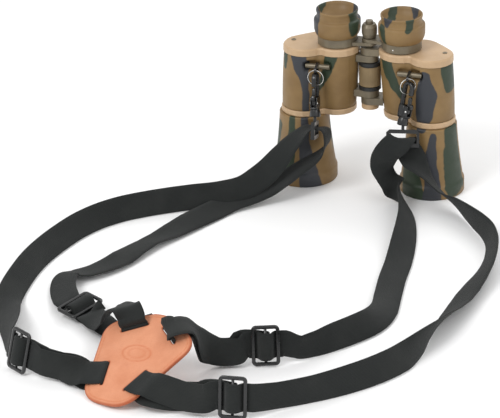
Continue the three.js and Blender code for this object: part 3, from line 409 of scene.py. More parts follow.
def webbing():
    """Black elastic webbing: a fine plain weave that follows the band, with a tight selvedge."""
    n = Nodes("elastic_webbing")
    split = n.node("SeparateXYZ")
    n.link(n.attribute("band", "Vector"), split.inputs[0])
    warp_pitch, weft_pitch = 1.15, 0.95
    warp = n.math("SINE", n.math("MULTIPLY", split.outputs[0], 2 * math.pi / warp_pitch))
    weft = n.math("SINE", n.math("MULTIPLY", split.outputs[1], 2 * math.pi / weft_pitch))
    cross = n.math("MULTIPLY", warp, weft)
    weave = n.math("ADD", n.math("MULTIPLY", cross, 0.5), n.math("MULTIPLY", warp, 0.35))
    speckle = n.noise(1500, 3, roughness=0.7)
    tone = n.math("ADD", n.ramp(weave, -0.8, 0.8, 0.0, 0.7), n.math("MULTIPLY", speckle, 0.5))
    base = n.mix(n.ramp(tone, 0.2, 1.0), (0.009, 0.01, 0.01), (0.031, 0.034, 0.033))
    dusty = n.mix(n.ramp(n.noise(30, 4), 0.45, 0.7, 0.0, 0.35), base, (0.036, 0.038, 0.036))
    n.colour(dusty)
    n.bump(weave, 0.00016)
    n.bump(speckle, 0.00008)
    n.set(Roughness=0.9, Sheen_Weight=0.08, Sheen_Roughness=0.5, Specular_IOR_Level=0.15)
    return n.material


def leather():
    """Natural leather: peach grain face, edges burnished a darker orange."""
    n = Nodes("natural_leather")
    grain = n.cells(900)
    cloud = n.noise(42, 5, roughness=0.6)
    face = n.mix(n.ramp(cloud, 0.3, 0.7), (0.6, 0.225, 0.11), (0.7, 0.3, 0.165))
    pores = n.mix(n.ramp(n.noise(1400, 2), 0.52, 0.72, 0.0, 0.35), face, (0.48, 0.16, 0.07))
    edge = n.math("ADD", n.attribute("edge"),
                  n.math("MULTIPLY", n.math("SUBTRACT", cloud, 0.5), 1.2))
    pressed = n.mix(n.attribute("pressed"), pores, (0.55, 0.155, 0.055))
    n.colour(n.mix(n.ramp(edge, 2.3, 0.0), pressed, (0.42, 0.095, 0.03)))
    n.rough(n.noise(90, 4), 0.46, 0.66)
    n.bump(n.ramp(grain, 0.0, 0.25), 0.00008)
    n.bump(n.noise(260, 4), 0.00014)
    n.set(Sheen_Weight=0.1, Specular_IOR_Level=0.4)
    return n.material


def wire():
    n = Nodes("nickel_wire")
    n.colour(n.mix(n.noise(300, 3), (0.62, 0.62, 0.6), (0.86, 0.86, 0.84)))
    n.rough(n.noise(400, 3), 0.14, 0.3)
    n.bump(n.noise(1800, 2), 0.00002)
    return n.set(Metallic=1.0).material


def lens():
    """Coated glass seen from outside: dark, with a blue-violet bloom."""
    n = Nodes("coated_lens")
    n.colour(n.mix(n.noise(60, 2), (0.01, 0.018, 0.035), (0.028, 0.02, 0.05)))
    n.bump(n.noise(20, 1), 0.00001)
    n.set(Roughness=0.04, IOR=1.6, Coat_Weight=1.0, Coat_Roughness=0.02, Coat_Tint=(0.75, 0.8, 1, 1))
    return n.material


def prism_glass():
    n = Nodes("prism_glass")
    n.colour(n.mix(n.noise(50, 2), (0.7, 0.78, 0.8), (0.8, 0.86, 0.86)))
    n.bump(n.noise(30, 1), 0.00001)
    return n.set(Roughness=0.03, IOR=1.57, Transmission_Weight=0.6).material


def make_materials():
    return {
        "camouflage_armour": camouflage(),
        "tan_cover": moulded("tan_paint", (0.53, 0.365, 0.215), (0.46, 0.31, 0.175), 0.44, 1500, 0.00004),
        "grey_brown_metal": moulded("grey_brown_metal", (0.205, 0.17, 0.115), (0.14, 0.118, 0.08),
                                    0.38, 1700, 0.00003, metallic=0.35),
        "dark_trim": moulded("dark_trim", (0.02, 0.021, 0.021), (0.011, 0.012, 0.012), 0.42, 1900, 0.00003),
        "bright_wire": wire(),
        "lens_glass": lens(),
        "prism_glass": prism_glass(),
        "webbing": webbing(),
        "black_plastic": moulded("black_plastic", (0.01, 0.0105, 0.011), (0.005, 0.0055, 0.006),
                                 0.27, 1300, 0.00002, coat=0.25),
        "leather": leather(),
        "grip_rubber": moulded("grip_rubber", (0.26, 0.185, 0.095), (0.18, 0.125, 0.06), 0.62, 2200, 0.00005),
        "white_paint": moulded("white_paint", (0.85, 0.85, 0.82), (0.75, 0.75, 0.72), 0.4, 1500, 0.00002),
    }


# ---- mesh helpers ----
def piece(name, points, faces, slot, body, replaced=(), bevel=0.0):
    """A smooth mesh from points measured from the hinge, riding on a body."""
    mesh = bpy.data.meshes.new(name)
    shifted = np.asarray(points, float) + np.array(HINGE)
    mesh.from_pydata(shifted.tolist(), [], [list(f) for f in faces])
    mesh.validate()
    made = linked(name, mesh)
    point_out(mesh)
    return dress(made, slot, body, replaced, bevel)


def point_out(mesh):
    work = bmesh.new()
    work.from_mesh(mesh)
    bmesh.ops.recalc_face_normals(work, faces=work.faces)
    work.to_mesh(mesh)
    work.free()


def dress(made, slot, body, replaced=(), bevel=0.0):
    made.data.polygons.foreach_set("use_smooth", [True] * len(made.data.polygons))
    made.data.materials.clear()
    made.data.materials.append(MATERIALS[slot])
    if bevel:
        add_bevel(made, bevel)
    if body:
        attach(made, body)
    if replaced:
        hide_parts(*replaced)
    return made


def add_bevel(made, width, angle=28):
    modifier = made.modifiers.new("edge", "BEVEL")
    modifier.width = width
    modifier.segments = 3
    modifier.limit_method = "ANGLE"
    modifier.angle_limit = math.radians(angle)
    modifier.harden_normals = True


def skin(rows, columns, closed_rows=False):
    """Quads over a grid whose columns close on themselves."""
    faces = []
    for k in range(rows if closed_rows else rows - 1):
        for i in range(columns):
            a, b = k * columns + i, k * columns + (i + 1) % columns
            c, d = ((k + 1) % rows) * columns + (i + 1) % columns, ((k + 1) % rows) * columns + i
            faces.append((a, b, c, d))
    return faces


def capped(rows, columns):
    """The skin of a form closed by a face at each end."""
    last = (rows - 1) * columns
    return skin(rows, columns) + [tuple(range(columns))[::-1], tuple(range(last, last + columns))]


def circle(count):
    """Cosine and sine of evenly spaced angles round a full turn."""
    return [(math.cos(a), math.sin(a)) for a in (2 * math.pi * k / count for k in range(count))]


def squared(value, power):
    """The value's size raised to a power under 1, which squares up a circle. Its sign is kept."""
    return math.copysign(abs(value) ** power, value)


def unit_rows(v):
    return v / np.linalg.norm(v, axis=1)[:, None]


def run_length(path):
    """How far each point of a path lies along it."""
    return np.concatenate([[0], np.cumsum(np.linalg.norm(np.diff(path, axis=0), axis=1))])


def turned(name, profile, x, y, slot, body, replaced=(), bevel=0.0003, segments=96, relief=None):
    """A turned piece whose closed profile is a list of (radius, z)."""
    ring = np.array(profile, float)
    turn = np.linspace(0, 2 * math.pi, segments, endpoint=False)
    points = []
    for r, z in ring:
        radius = np.full(segments, r) + (relief(turn) if relief else 0)
        level = np.full(segments, z)
        points.append(np.stack([x + radius * np.cos(turn), y + radius * np.sin(turn), level], 1))
    return piece(name, np.concatenate(points), skin(len(ring), segments, True), slot, body, replaced, bevel)


def tube(name, path, radius, slot, body, replaced=(), sides=10):
    """A closed tube along an open path of points."""
    path = np.asarray(path, float)
    tangent = unit_rows(np.gradient(path, axis=0))
    normal = np.cross(tangent[0], (0.3, 0.9, 0.2))
    points = []
    for p, t in zip(path, tangent):
        normal = normal - t * (normal @ t)
        normal /= np.linalg.norm(normal)
        other = np.cross(t, normal)
        points += [p + radius * (c * normal + s * other) for c, s in circle(sides)]
    return piece(name, points, capped(len(path), sides), slot, body, replaced)


# ---- webbing ----
def unit(v):
    v = np.asarray(v, float)
    return v / np.linalg.norm(v)


def slide_axes(key):
    slide = SLIDES[key]
    t = unit(slide["along"])
    w = np.asarray(slide["across"], float)
    w = unit(w - t * (w @ t))
    return np.array(slide["at"]), t, w, np.cross(w, t) * slide["face"]


def slot_axes(key):
    x, y, turn, out = SLOTS[key]
    along = math.radians(turn)
    place = np.array(YOKE_PLACE + YOKE_TURN @ Vector((x, y, 0)))
    t = np.array(YOKE_TURN @ Vector((*out, 0)))
    n = np.array(YOKE_TURN @ Vector((0, 0, 1)))
    w = np.array(YOKE_TURN @ Vector((math.cos(along), math.sin(along), 0)))
    return place, t, w, n


def on_axes(axes, steps):
    place, t, w, n = axes
    made = []
    for along, up, *side in steps:
        made.append((place + t * along + n * up + w * (side[0] if side else 0), w))
    return made


def free(rows):
    return [(np.array(r[:3], float), unit(r[3:])) for r in rows]


def strap_half(key):
    """Stations from the hook's bar through the slide, round the slot and back to the slide."""
    slide, slot = slide_axes(key), slot_axes(key)
    return (
        free(RUNS[key])
        + on_axes(slide, WEAVE)
        + free(SLIDES[key]["over"])
        + on_axes(slot, OVER_LEATHER.get(key, RISING))
        + on_axes(slot, SLOT_TURN)
        + on_axes(slot, UNDER_LEATHER)
        + free(SLIDES[key]["under"])
        + on_axes(slide, SEWN_END)
    )


def smooth_path(stations, step):
    """Centripetal Catmull-Rom through the stations: points and width directions about a step apart."""
    p = np.array([s[0] for s in stations])
    w = np.array([s[1] for s in stations])
    ends = np.vstack([2 * p[0] - p[1], p, 2 * p[-1] - p[-2]])
    points, widths = [], []
    for i in range(len(p) - 1):
        a, b, c, d = ends[i:i + 4]
        gaps = [max(np.linalg.norm(v - u), 1e-9) ** 0.5 for u, v in ((a, b), (b, c), (c, d))]
        t0 = ((b - a) / gaps[0] - (c - a) / (gaps[0] + gaps[1]) + (c - b) / gaps[1]) * gaps[1]
        t1 = ((c - b) / gaps[1] - (d - b) / (gaps[1] + gaps[2]) + (d - c) / gaps[2]) * gaps[1]
        parts = max(2, round(np.linalg.norm(c - b) / step))
        for k in range(parts + (i == len(p) - 2)):
            s = k / parts
            h = (2 * s**3 - 3 * s**2 + 1, s**3 - 2 * s**2 + s, 3 * s**2 - 2 * s**3, s**3 - s**2)
            points.append(h[0] * b + h[1] * t0 + h[2] * c + h[3] * t1)
            widths.append(w[i] * (1 - s) + w[i + 1] * s)
    return np.array(points), np.array(widths)


BAND_STEP = 0.0022
EDGE_COUNT = 7  # points across each face of the band


def band_section():
    """Half the band's outline as (across, up) shares: flat faces, rounded selvedges."""
    across = np.linspace(-0.965, 0.965, EDGE_COUNT)
    up = np.where(np.abs(across) > 0.8, 0.86, 1.0)
    top = list(zip(across, up))
    bottom = [(a, -u) for a, u in reversed(top)]
    return np.array(top + [(1.0, 0.0)] + bottom + [(-1.0, 0.0)])


def strap(side, first, second):
    stations = strap_half(first)[::-1] + strap_half(second)[1:]
    path, width = smooth_path(stations, BAND_STEP)
    tangent = unit_rows(np.gradient(path, axis=0))
    width = unit_rows(width - tangent * (width * tangent).sum(1)[:, None])
    normal = np.cross(width, tangent)
    section = band_section()
    reach_down = np.abs(width[:, 2]) * WEB_WIDTH / 2 + np.abs(normal[:, 2]) * WEB_THICK / 2
    lowest = path[:, 2] + HINGE.z - reach_down
    lift = np.clip(BAND_CLEARANCE - lowest, 0, None)
    spread = np.hanning(31)
    path[:, 2] += np.maximum(lift, np.convolve(lift, spread / spread.sum(), "same"))
    points = (
        path[:, None]
        + width[:, None] * (section[None, :, :1] * WEB_WIDTH / 2)
        + normal[:, None] * (section[None, :, 1:] * WEB_THICK / 2)
    ).reshape(-1, 3)
    n = len(section)
    body = ROOT if side == "left" else None
    made = piece(f"webbing_{side}", points, capped(len(path), n), "webbing", body, (f"strap_{side}",))
    travelled = run_length(path)
    band = np.zeros((len(path), n, 3))
    band[:, :, 0] = section[:, 0] * WEB_WIDTH / 2 / MM
    band[:, :, 1] = travelled[:, None] / MM
    attribute = made.data.attributes.new("band", "FLOAT_VECTOR", "POINT")
    attribute.data.foreach_set("vector", band.astype(np.float32).ravel())
    # The right strap hangs on the right telescope's hook, but it rides on no body; its place is baked into
    # its mesh.
    if side == "right":
        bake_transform(made)


# ---- telescopes ----
def arc(x, y, r, start, stop, count=60):
    a = np.radians(np.linspace(start, stop, count))
    return np.stack([x + r * np.cos(a), y + r * np.sin(a)], 1)


def curve(start, control, stop, count=30):
    s = np.linspace(0, 1, count)[:, None]
    return (1 - s) ** 2 * np.array(start) + 2 * s * (1 - s) * np.array(control) + s**2 * np.array(stop)


def housing_outline(z, grow=0.0, count=220):
    """Plan outline of the right housing at height z, evenly spaced, in metres."""
    share = (z - Z_BARREL_TOP) / (Z_COVER_TOP - Z_BARREL_TOP)
    g = grow / MM
    at_bottom = np.array((34.2, 19.4, 64.5, -8.5, 23.4))
    at_top = np.array((32.5, 22.6, 63.5, -6.5, 21.6))
    inner_x, inner_r, outer_x, outer_y, outer_r = at_bottom + (at_top - at_bottom) * share
    inner_r += g
    outer_r += g
    front = arc(outer_x, outer_y, outer_r, -132, -132, 1)[0]
    right = arc(outer_x, outer_y, outer_r, -132, 32)
    left = arc(inner_x, 0, inner_r, 98, 288)
    corner = (66 + g * 0.7, 20 + g * 0.8)
    points = np.vstack([
        right,
        curve(right[-1], (74 + g, 14 + g), corner)[1:],
        curve(corner, (55 + g * 0.6, 31 + g), (45, 26.5 + g))[1:],
        left,
        curve(left[-1], (45, -17 - g * 0.8), front)[1:-1],
    ]) * MM
    closed = np.vstack([points, points[:1]])
    length = run_length(closed)
    at = np.linspace(0, length[-1], count, endpoint=False)
    return np.stack([np.interp(at, length, closed[:, 0]), np.interp(at, length, closed[:, 1])], 1)


# Patches of the camouflage on a telescope's front as strokes: (x, z, half width) in millimetres.
STROKES = {
    ("left", "charcoal"): [
        [(-66, 140, 8.5), (-63, 125, 7), (-59, 112, 4.5), (-57.5, 100, 3), (-58, 72, 3.5), (-58, 45, 5),
         (-55, 22, 8), (-51, -4, 11)],
        [(-53, 182, 8), (-51, 150, 3)],
    ],
    ("left", "green"): [
        [(-32, 140, 7), (-37, 122, 5.5), (-43, 108, 3), (-46, 98, 1)],
        [(-80, 140, 4), (-80, 120, 1.5)],
        [(-71, 74, 2.5), (-71, 50, 4.5), (-74, 26, 6), (-80, 8, 3)],
        [(-87, 60, 4), (-90, 30, 3)],
        [(-12, 182, 6), (-13, 156, 2)],
    ],
    ("right", "charcoal"): [
        [(62, 126, 5), (64, 106, 11), (62, 86, 9), (60, 73, 5)],
        [(72, 66, 3), (70, 40, 6), (73, 12, 8), (72, -4, 10)],
        [(24, 182, 6), (22, 172, 3)],
    ],
    ("right", "green"): [
        [(20, 140, 6), (24, 124, 6), (31, 110, 5), (38, 100, 4)],
        [(50, 58, 4), (48, 34, 9), (52, 10, 12), (54, -4, 13)],
        [(86, 74, 4), (88, 40, 6), (92, 8, 7)],
        [(82, 134, 5), (84, 110, 3)],
        [(17, 166, 4), (20, 152, 2)],
        [(45, 182, 4), (44, 168, 3)],
    ],
}


def stroke_field(points, strokes):
    """How far each (x, z) in millimetres lies outside the strokes; negative inside."""
    best = np.full(len(points), 99.0)
    for stroke in strokes:
        for (x0, z0, r0), (x1, z1, r1) in zip(stroke, stroke[1:]):
            a, ab = np.array((x0, z0)), np.array((x1 - x0, z1 - z0))
            s = np.clip((points - a) @ ab / (ab @ ab), 0, 1)
            away = np.linalg.norm(points - a - s[:, None] * ab, axis=1)
            best = np.minimum(best, away - (r0 + (r1 - r0) * s))
    return best


def store(mesh, name, values):
    """Keeps a number for each vertex under a name that the materials read."""
    attribute = mesh.attributes.new(name, "FLOAT", "POINT")
    attribute.data.foreach_set("value", values.astype(np.float32))


def paint_camouflage(made, side, middle_x, middle_y):
    """Stores each patch outline; the back carries the front's pattern turned half round."""
    sign = SIDES[side]
    co = np.array([v.co for v in made.data.vertices]) - np.array(HINGE)
    back = co[:, 1] > middle_y
    x = np.where(back, 2 * middle_x * sign - co[:, 0], co[:, 0]) / MM
    at = np.stack([x, co[:, 2] / MM], 1)
    for name in ("green", "charcoal"):
        store(made.data, name, stroke_field(at, STROKES[side, name]))


def armour(side):
    """Rubber armour of a prism housing: a shell with vertical grip ribs by the hinge."""
    sign = SIDES[side]
    levels = [0.0778, 0.0784, *np.linspace(0.08, 0.1328, 34), 0.1341, 0.1347]
    rings = []
    for z in levels:
        share = (z - 0.078) / (0.1347 - 0.078)
        lip = 0.0006 * max(0, 1 - min(z - 0.0778, 0.1347 - z) / 0.0014)
        outline = housing_outline(z, -0.0006 + 0.0005 * math.sin(math.pi * share) - lip)
        turn = np.degrees(np.arctan2(outline[:, 1], outline[:, 0] - EYE_X)) % 360
        ribbed = (turn > 188) & (turn < 222) & (z > 0.082) & (z < 0.131)
        wave = np.where(ribbed, 0.5 - 0.5 * np.cos(np.radians((turn - 188) / 34 * 360 * 5)), 0)
        inward = unit_rows(np.array([EYE_X, 0]) - outline)
        outline = outline + inward * (wave * 0.0006)[:, None]
        rings.append(np.column_stack([outline[:, 0] * sign, outline[:, 1], np.full(len(outline), z)]))
    count = len(rings[0])
    name = f"rubber_armour_{side}"
    made = piece(name, np.concatenate(rings), skin(len(rings), count), "camouflage_armour",
                 HALF_BODY[side], (f"prism_housing_{side}",))
    lug_hollow(made, sign)
    paint_camouflage(made, side, 0.048, 0.002)
    shell = made.modifiers.new("wall", "SOLIDIFY")
    shell.thickness = WALL * 0.6
    shell.offset = -1


def lug_hollow(made, sign):
    """Presses the skin back round the strap lug, so that the bar stands in a hollow."""
    depth_r = 0.0056
    for v in made.data.vertices:
        p = v.co - HINGE
        beyond = max(0.0, abs(p.x - LUG.x * sign) - 0.0085)
        below = p.z - LUG.z
        reach = math.hypot(beyond, below)
        if reach >= depth_r or p.y > 0:
            continue
        floor_y = LUG.y + math.sqrt(depth_r**2 - reach**2)
        v.co.y = max(v.co.y, floor_y + HINGE.y)


def barrel(side):
    sign = SIDES[side]
    outer = [(0.0302, 0), (0.0314, 0.0002), (0.0319, 0.001), (0.032, 0.012), (0.0317, 0.0132),
             (0.0309, 0.0142), (0.0304, 0.0156), (0.0301, 0.018)]
    cone = [(0.0301 + (0.0246 - 0.0301) * s - 0.0006 * math.sin(math.pi * s), 0.018 + 0.0518 * s)
            for s in np.linspace(0.05, 1, 22)]
    top = [(0.0246, 0.0708), (0.0243, Z_BARREL_TOP), (0.0192, Z_BARREL_TOP), (0.02, 0.046),
           (0.0256, 0.0203), (0.0256, 0.0084), (0.0262, 0.007), (0.0296, 0.0004)]
    made = turned(f"barrel_armour_{side}", outer + cone + top, OBJ_X * sign, OBJ_Y, "camouflage_armour",
                  HALF_BODY[side], (f"objective_barrel_{side}",), bevel=0, segments=128)
    paint_camouflage(made, side, OBJ_X, OBJ_Y)


def eyecup(side):
    """A rubber cup whose thin lip steps out to a wider body."""
    sign = SIDES[side]
    profile = [
        (0.0174, 0.1513), (0.02, 0.1513), (0.0204, 0.152), (0.0212, 0.1532), (0.0222, 0.1552),
        (0.0229, 0.158), (0.023, 0.162), (0.023, 0.1668), (0.0228, 0.1678), (0.0221, 0.1684),
        (0.0208, 0.1688), (0.0202, 0.1694), (0.0201, 0.1706), (0.0201, 0.1745), (0.0203, 0.1751),
        (0.0206, 0.1757), (0.0207, 0.1768), (0.0206, 0.1776), (0.0201, 0.178), (0.0195, 0.1778),
        (0.0186, 0.1752), (0.0173, 0.1722), (0.014, 0.1692), (0.01, 0.1666),
        (0.0093, 0.1658), (0.0093, 0.1636), (0.0172, 0.1636),
    ]
    made = turned(f"rubber_eyecup_{side}", profile, EYE_X * sign, 0, "camouflage_armour",
                  f"ocular_{side}", (f"eyecup_{side}",), bevel=0, segments=112)
    paint_camouflage(made, side, EYE_X, 0)


def focus_grip():
    """Ribbed sleeve of the focus wheel: fine ridges both ways."""
    heights = np.arange(0.1014, 0.1217, 0.00025)
    profile = []
    for z in heights:
        groove = 0.0002 * (0.5 - 0.5 * math.cos((z - 0.1014) / 0.0011 * 2 * math.pi))
        profile.append((0.01088 - groove, z))
    profile += [(0.0102, heights[-1]), (0.0102, heights[0])]

    def ridges(turn):
        return -0.00016 * (0.5 + 0.5 * np.sign(np.sin(turn * 48)))

    turned("knurled_grip", profile, 0, 0, "grip_rubber", "focus", ("focus_wheel_grip",), bevel=0,
           segments=192, relief=ridges)


def split_ring(side):
    """Two touching turns of flat wire."""
    turn = {"left": 0, "right": 35}[side]
    spin = Matrix.Rotation(math.radians(turn), 3, "Z")
    path = []
    for k in range(161):
        a = 4 * math.pi * k / 160
        off = (k / 160 - 0.5) * 1.1 * RING_WIRE
        local = Vector((RING_R * math.cos(a), off, RING_R * math.sin(a)))
        path.append(spin @ local + Vector((LUG.x * SIDES[side], RING_Y, RING_Z)))
    tube(f"coiled_ring_{side}", path, RING_WIRE * 0.62, "bright_wire", f"ring_{side}",
         (f"split_ring_{side}",), sides=12)


def rivets(side):
    """Domed heads of the gate's pin on both cheeks of the hook."""
    matrix = hook_frame(side)
    for number, face in enumerate((-1, 1)):
        points, dome = [], ((1.25, 3.5), (1.2, 3.75), (0.95, 4.0), (0.5, 4.15), (0.05, 4.2))
        for r, h in dome:
            for c, s in circle(24):
                local = Vector((GATE_PIVOT[0] + r * MM * c, face * h * MM, GATE_PIVOT[1] + r * MM * s))
                points.append(matrix @ local)
        name = f"gate_rivet_{side}_{number + 1}"
        piece(name, points, capped(len(dome), 24), "bright_wire", f"hook_{side}")


def hook_frame(side):
    """Matrix from a hook's own frame, whose heights are those of the standing hook, to the model."""
    lean, turn = HOOK_TURNS[side]
    rotation = (
        Matrix.Rotation(math.radians(-HOOK_LEAN), 4, "X")
        @ Matrix.Rotation(math.radians(lean), 4, "Y")
        @ Matrix.Rotation(math.radians(turn), 4, "Z")
    )
    place = Matrix.Translation(Vector((LUG.x * SIDES[side], HOOK_Y, HOOK_Z)))
    return place @ rotation @ Matrix.Translation((0, 0, -HOOK_Z))


def rounded_post(rows, matrix, squareness, count=40):
    """Points and faces of an upright form from rows of (z, x, y, half x, half y) in millimetres."""
    points = []
    for z, x, y, half_x, half_y in rows:
        for c, s in circle(count):
            px = squared(c, 2 / squareness) * half_x
            py = squared(s, 2 / squareness) * half_y
            points.append(matrix @ Vector(((x + px) * MM, (y + py) * MM, z * MM)))
    return points, capped(len(rows), count)


def joined(parts):
    """The points and faces of several forms as one mesh."""
    points, faces = [], []
    for some_points, some_faces in parts:
        faces += [tuple(i + len(points) for i in face) for face in some_faces]
        points += some_points
    return points, faces


def hook_rod(matrix):
    """The bent bar of the hook: up the back, over the ring and down to the nose."""
    bend, top, half_x, half_y, count = 4.7, 114.0, 1.8, 2.5, 20
    line = [(-bend, z, 0) for z in np.linspace(95, top, 8)]
    line += [(-bend * math.cos(a), top + bend * math.sin(a), a) for a in np.linspace(0.15, math.pi, 20)]
    line += [(bend, z, math.pi) for z in (112, 110, 108.2, 107.0, 106.6)]
    points = []
    for index, (x, z, turn) in enumerate(line):
        end = {len(line) - 1: 0.6, len(line) - 2: 0.88}.get(index, 1.0)
        for c, s in circle(count):
            aside = squared(c, 0.6) * half_x * end
            depth = squared(s, 0.6) * half_y * end
            local = (x - aside * math.cos(turn), depth, z + aside * math.sin(turn))
            points.append(matrix @ Vector([part * MM for part in local]))
    return points, capped(len(line), count)


def hook(side):
    """A moulded snap hook: bar, cheeks, skirt over the swivel ball and the sprung gate."""
    matrix = hook_frame(side)
    stem = [(84.2, -2.2, 0, 3.2, 3.0), (84.9, -2.3, 0, 3.9, 3.6), (88, -2.35, 0, 4.15, 3.7),
            (95.4, -2.35, 0, 4.15, 3.7), (96.6, -2.6, 0, 3.8, 3.4), (97.6, -3.6, 0, 2.6, 2.8)]
    cheek = [(86, 3.2, 2.6, 0.6), (86.8, 3.9, 2.5, 0.72), (95.6, 4, 2.45, 0.72), (96.6, 3.9, 2.1, 0.55)]
    floor = [(84.3, 1.4, 0, 4.0, 3.0), (84.9, 1.5, 0, 4.6, 3.6), (86.3, 1.6, 0, 4.8, 3.6),
             (86.6, 1.6, 0, 4.5, 3.3)]
    skirt = [(77.1, 0, 0, 4.9, 4.9), (77.5, 0, 0, 5.3, 5.3), (78.4, 0, 0, 5.45, 5.45),
             (81.5, 0, 0, 5.3, 5.3), (84, 0, 0, 5.0, 4.6), (86, 0, 0, 4.4, 3.9)]
    forms = [hook_rod(matrix), rounded_post(stem, matrix, 5), rounded_post(floor, matrix, 5)]
    for y in (-2.95, 2.95):
        forms.append(rounded_post([(z, x, y, half_x, half_y) for z, x, half_x, half_y in cheek], matrix, 5))
    forms.append(rounded_post(skirt, matrix, 2))
    piece(f"snap_hook_{side}", *joined(forms), "black_plastic", f"hook_{side}", (f"hook_body_{side}",))
    gate = [(88.7, 4.4, 0, 1.1, 1.6), (89.4, 4.45, 0, 1.35, 1.8), (92, 4.7, 0, 1.6, 1.85),
            (98.8, 4.8, 0, 1.6, 1.85), (104.6, 4.75, 0, 1.5, 1.8), (105.4, 4.7, 0, 1.2, 1.5)]
    thumb = [(92.8, 6.2, 0, 0.5, 1.3), (93.6, 7.2, 0, 1.6, 1.7), (94.6, 7.5, 0, 1.75, 1.8),
             (98.0, 7.5, 0, 1.7, 1.8), (98.8, 6.9, 0, 1.2, 1.5)]
    piece(f"sprung_gate_{side}", *joined([rounded_post(gate, matrix, 4), rounded_post(thumb, matrix, 4)]),
          "black_plastic", f"gate_{side}", (f"hook_gate_{side}",))


def slide(key):
    """A tri-glide slide: a rounded frame and its centre bar."""
    place, t, w, n = slide_axes(key)
    half_long, half_wide, corner = 0.0108, 0.0173, 0.0026
    side_bar, centre_bar = (0.0017, 0.0015), (0.0013, 0.0012)  # half width and half height
    bend = np.radians(np.linspace(0, 90, 7))
    plan = []
    for sign_long, sign_wide, start in ((1, 1, 0), (-1, 1, 90), (-1, -1, 180), (1, -1, 270)):
        for a in bend + math.radians(start):
            plan.append(((half_long - corner) * sign_long + corner * math.cos(a),
                         (half_wide - corner) * sign_wide + corner * math.sin(a)))
    plan = np.array(plan)
    ahead, behind = np.roll(plan, -1, axis=0), np.roll(plan, 1, axis=0)
    tangent = unit_rows(ahead - behind)
    outward = np.stack([tangent[:, 1], -tangent[:, 0]], 1)
    count, points = 16, []
    for p, o in zip(plan, outward):
        for c, s in circle(count):
            u = p + o * squared(c, 0.7) * side_bar[0]
            points.append(place + t * u[0] + w * u[1] + n * squared(s, 0.7) * side_bar[1])
    faces = skin(len(plan), count, True)
    centre = [
        place + t * centre_bar[0] * c + w * across + n * centre_bar[1] * s
        for across in (-half_wide, half_wide) for c, s in circle(count)
    ]
    piece(f"tri_glide_{key}", *joined([(points, faces), (centre, capped(2, count))]),
          "black_plastic", f"adjuster_{key}", (f"slide_{key}",))


def small_parts():
    """Screws of the top covers and the dot that marks the dioptre ring."""
    for side, sign in SIDES.items():
        head = [(0.0002, 0.1419), (0.0002, 0.1421), (0.0009, 0.1421), (0.001, 0.1426), (0.0021, 0.1426),
                (0.0024, 0.1423), (0.0024, 0.1419)]
        turned(f"cover_screw_{side}", head, 0.0765 * sign, -0.003, "grey_brown_metal", HALF_BODY[side],
               bevel=0, segments=32)
    dot = [(0.0001, 0.0), (0.0007, 0.0), (0.0006, 0.0002), (0.0003, 0.00034), (0.0001, 0.00036)]
    face_turn = Matrix.Rotation(math.radians(90), 3, "X")
    place = Vector((EYE_X - 0.004, -0.0191, 0.1465))
    points = [place + face_turn @ Vector((r * c, r * s, h)) for r, h in dot for c, s in circle(20)]
    piece("dioptre_dot", points, capped(len(dot), 20), "white_paint", "dioptre")


# ---- leather yoke ----
def yoke_outline():
    """Outline of the yoke in its own plane, in millimetres."""
    right = [
        curve((0, 45.75), (4.5, 45.75), (9, 45), 8),
        np.array([(36, 33)]),
        curve((36, 33), (52, 25), (47, 10), 16)[1:],
        np.array([(29, -42)]),
        curve((29, -42), (23, -55), (8, -56), 14)[1:],
        curve((8, -56), (4, -56.25), (0, -56.25), 5)[1:],
    ]
    half = np.vstack(right)
    return np.vstack([half, (half * (-1, 1))[-2:0:-1]])


def slot_outline(key):
    """Outline of a slot in the yoke's plane, in millimetres."""
    x, y, turn, out = SLOTS[key]
    reach = (SLOT_LENGTH - SLOT_WIDTH) / 2
    radius = SLOT_WIDTH / 2
    local = np.vstack([arc(reach, 0, radius, -90, 90, 10), arc(-reach, 0, radius, 90, 270, 10)])
    a = math.radians(turn)
    spin = np.array([(math.cos(a), -math.sin(a)), (math.sin(a), math.cos(a))])
    return (local @ spin.T + (x, y) + np.array(out) * SLOT_SHIFT) / MM


def spline(data, points):
    made = data.splines.new("POLY")
    made.points.add(len(points) - 1)
    made.points.foreach_set("co", [c for x, y in points for c in (x * MM, y * MM, 0, 1)])
    made.use_cyclic_u = True


def distance_to(points, outline):
    best = np.full(len(points), 1e9)
    for a, b in zip(outline, np.roll(outline, -1, axis=0)):
        ab = b - a
        s = np.clip((points - a) @ ab / max(ab @ ab, 1e-12), 0, 1)
        best = np.minimum(best, np.linalg.norm(points - a - s[:, None] * ab, axis=1))
    return best


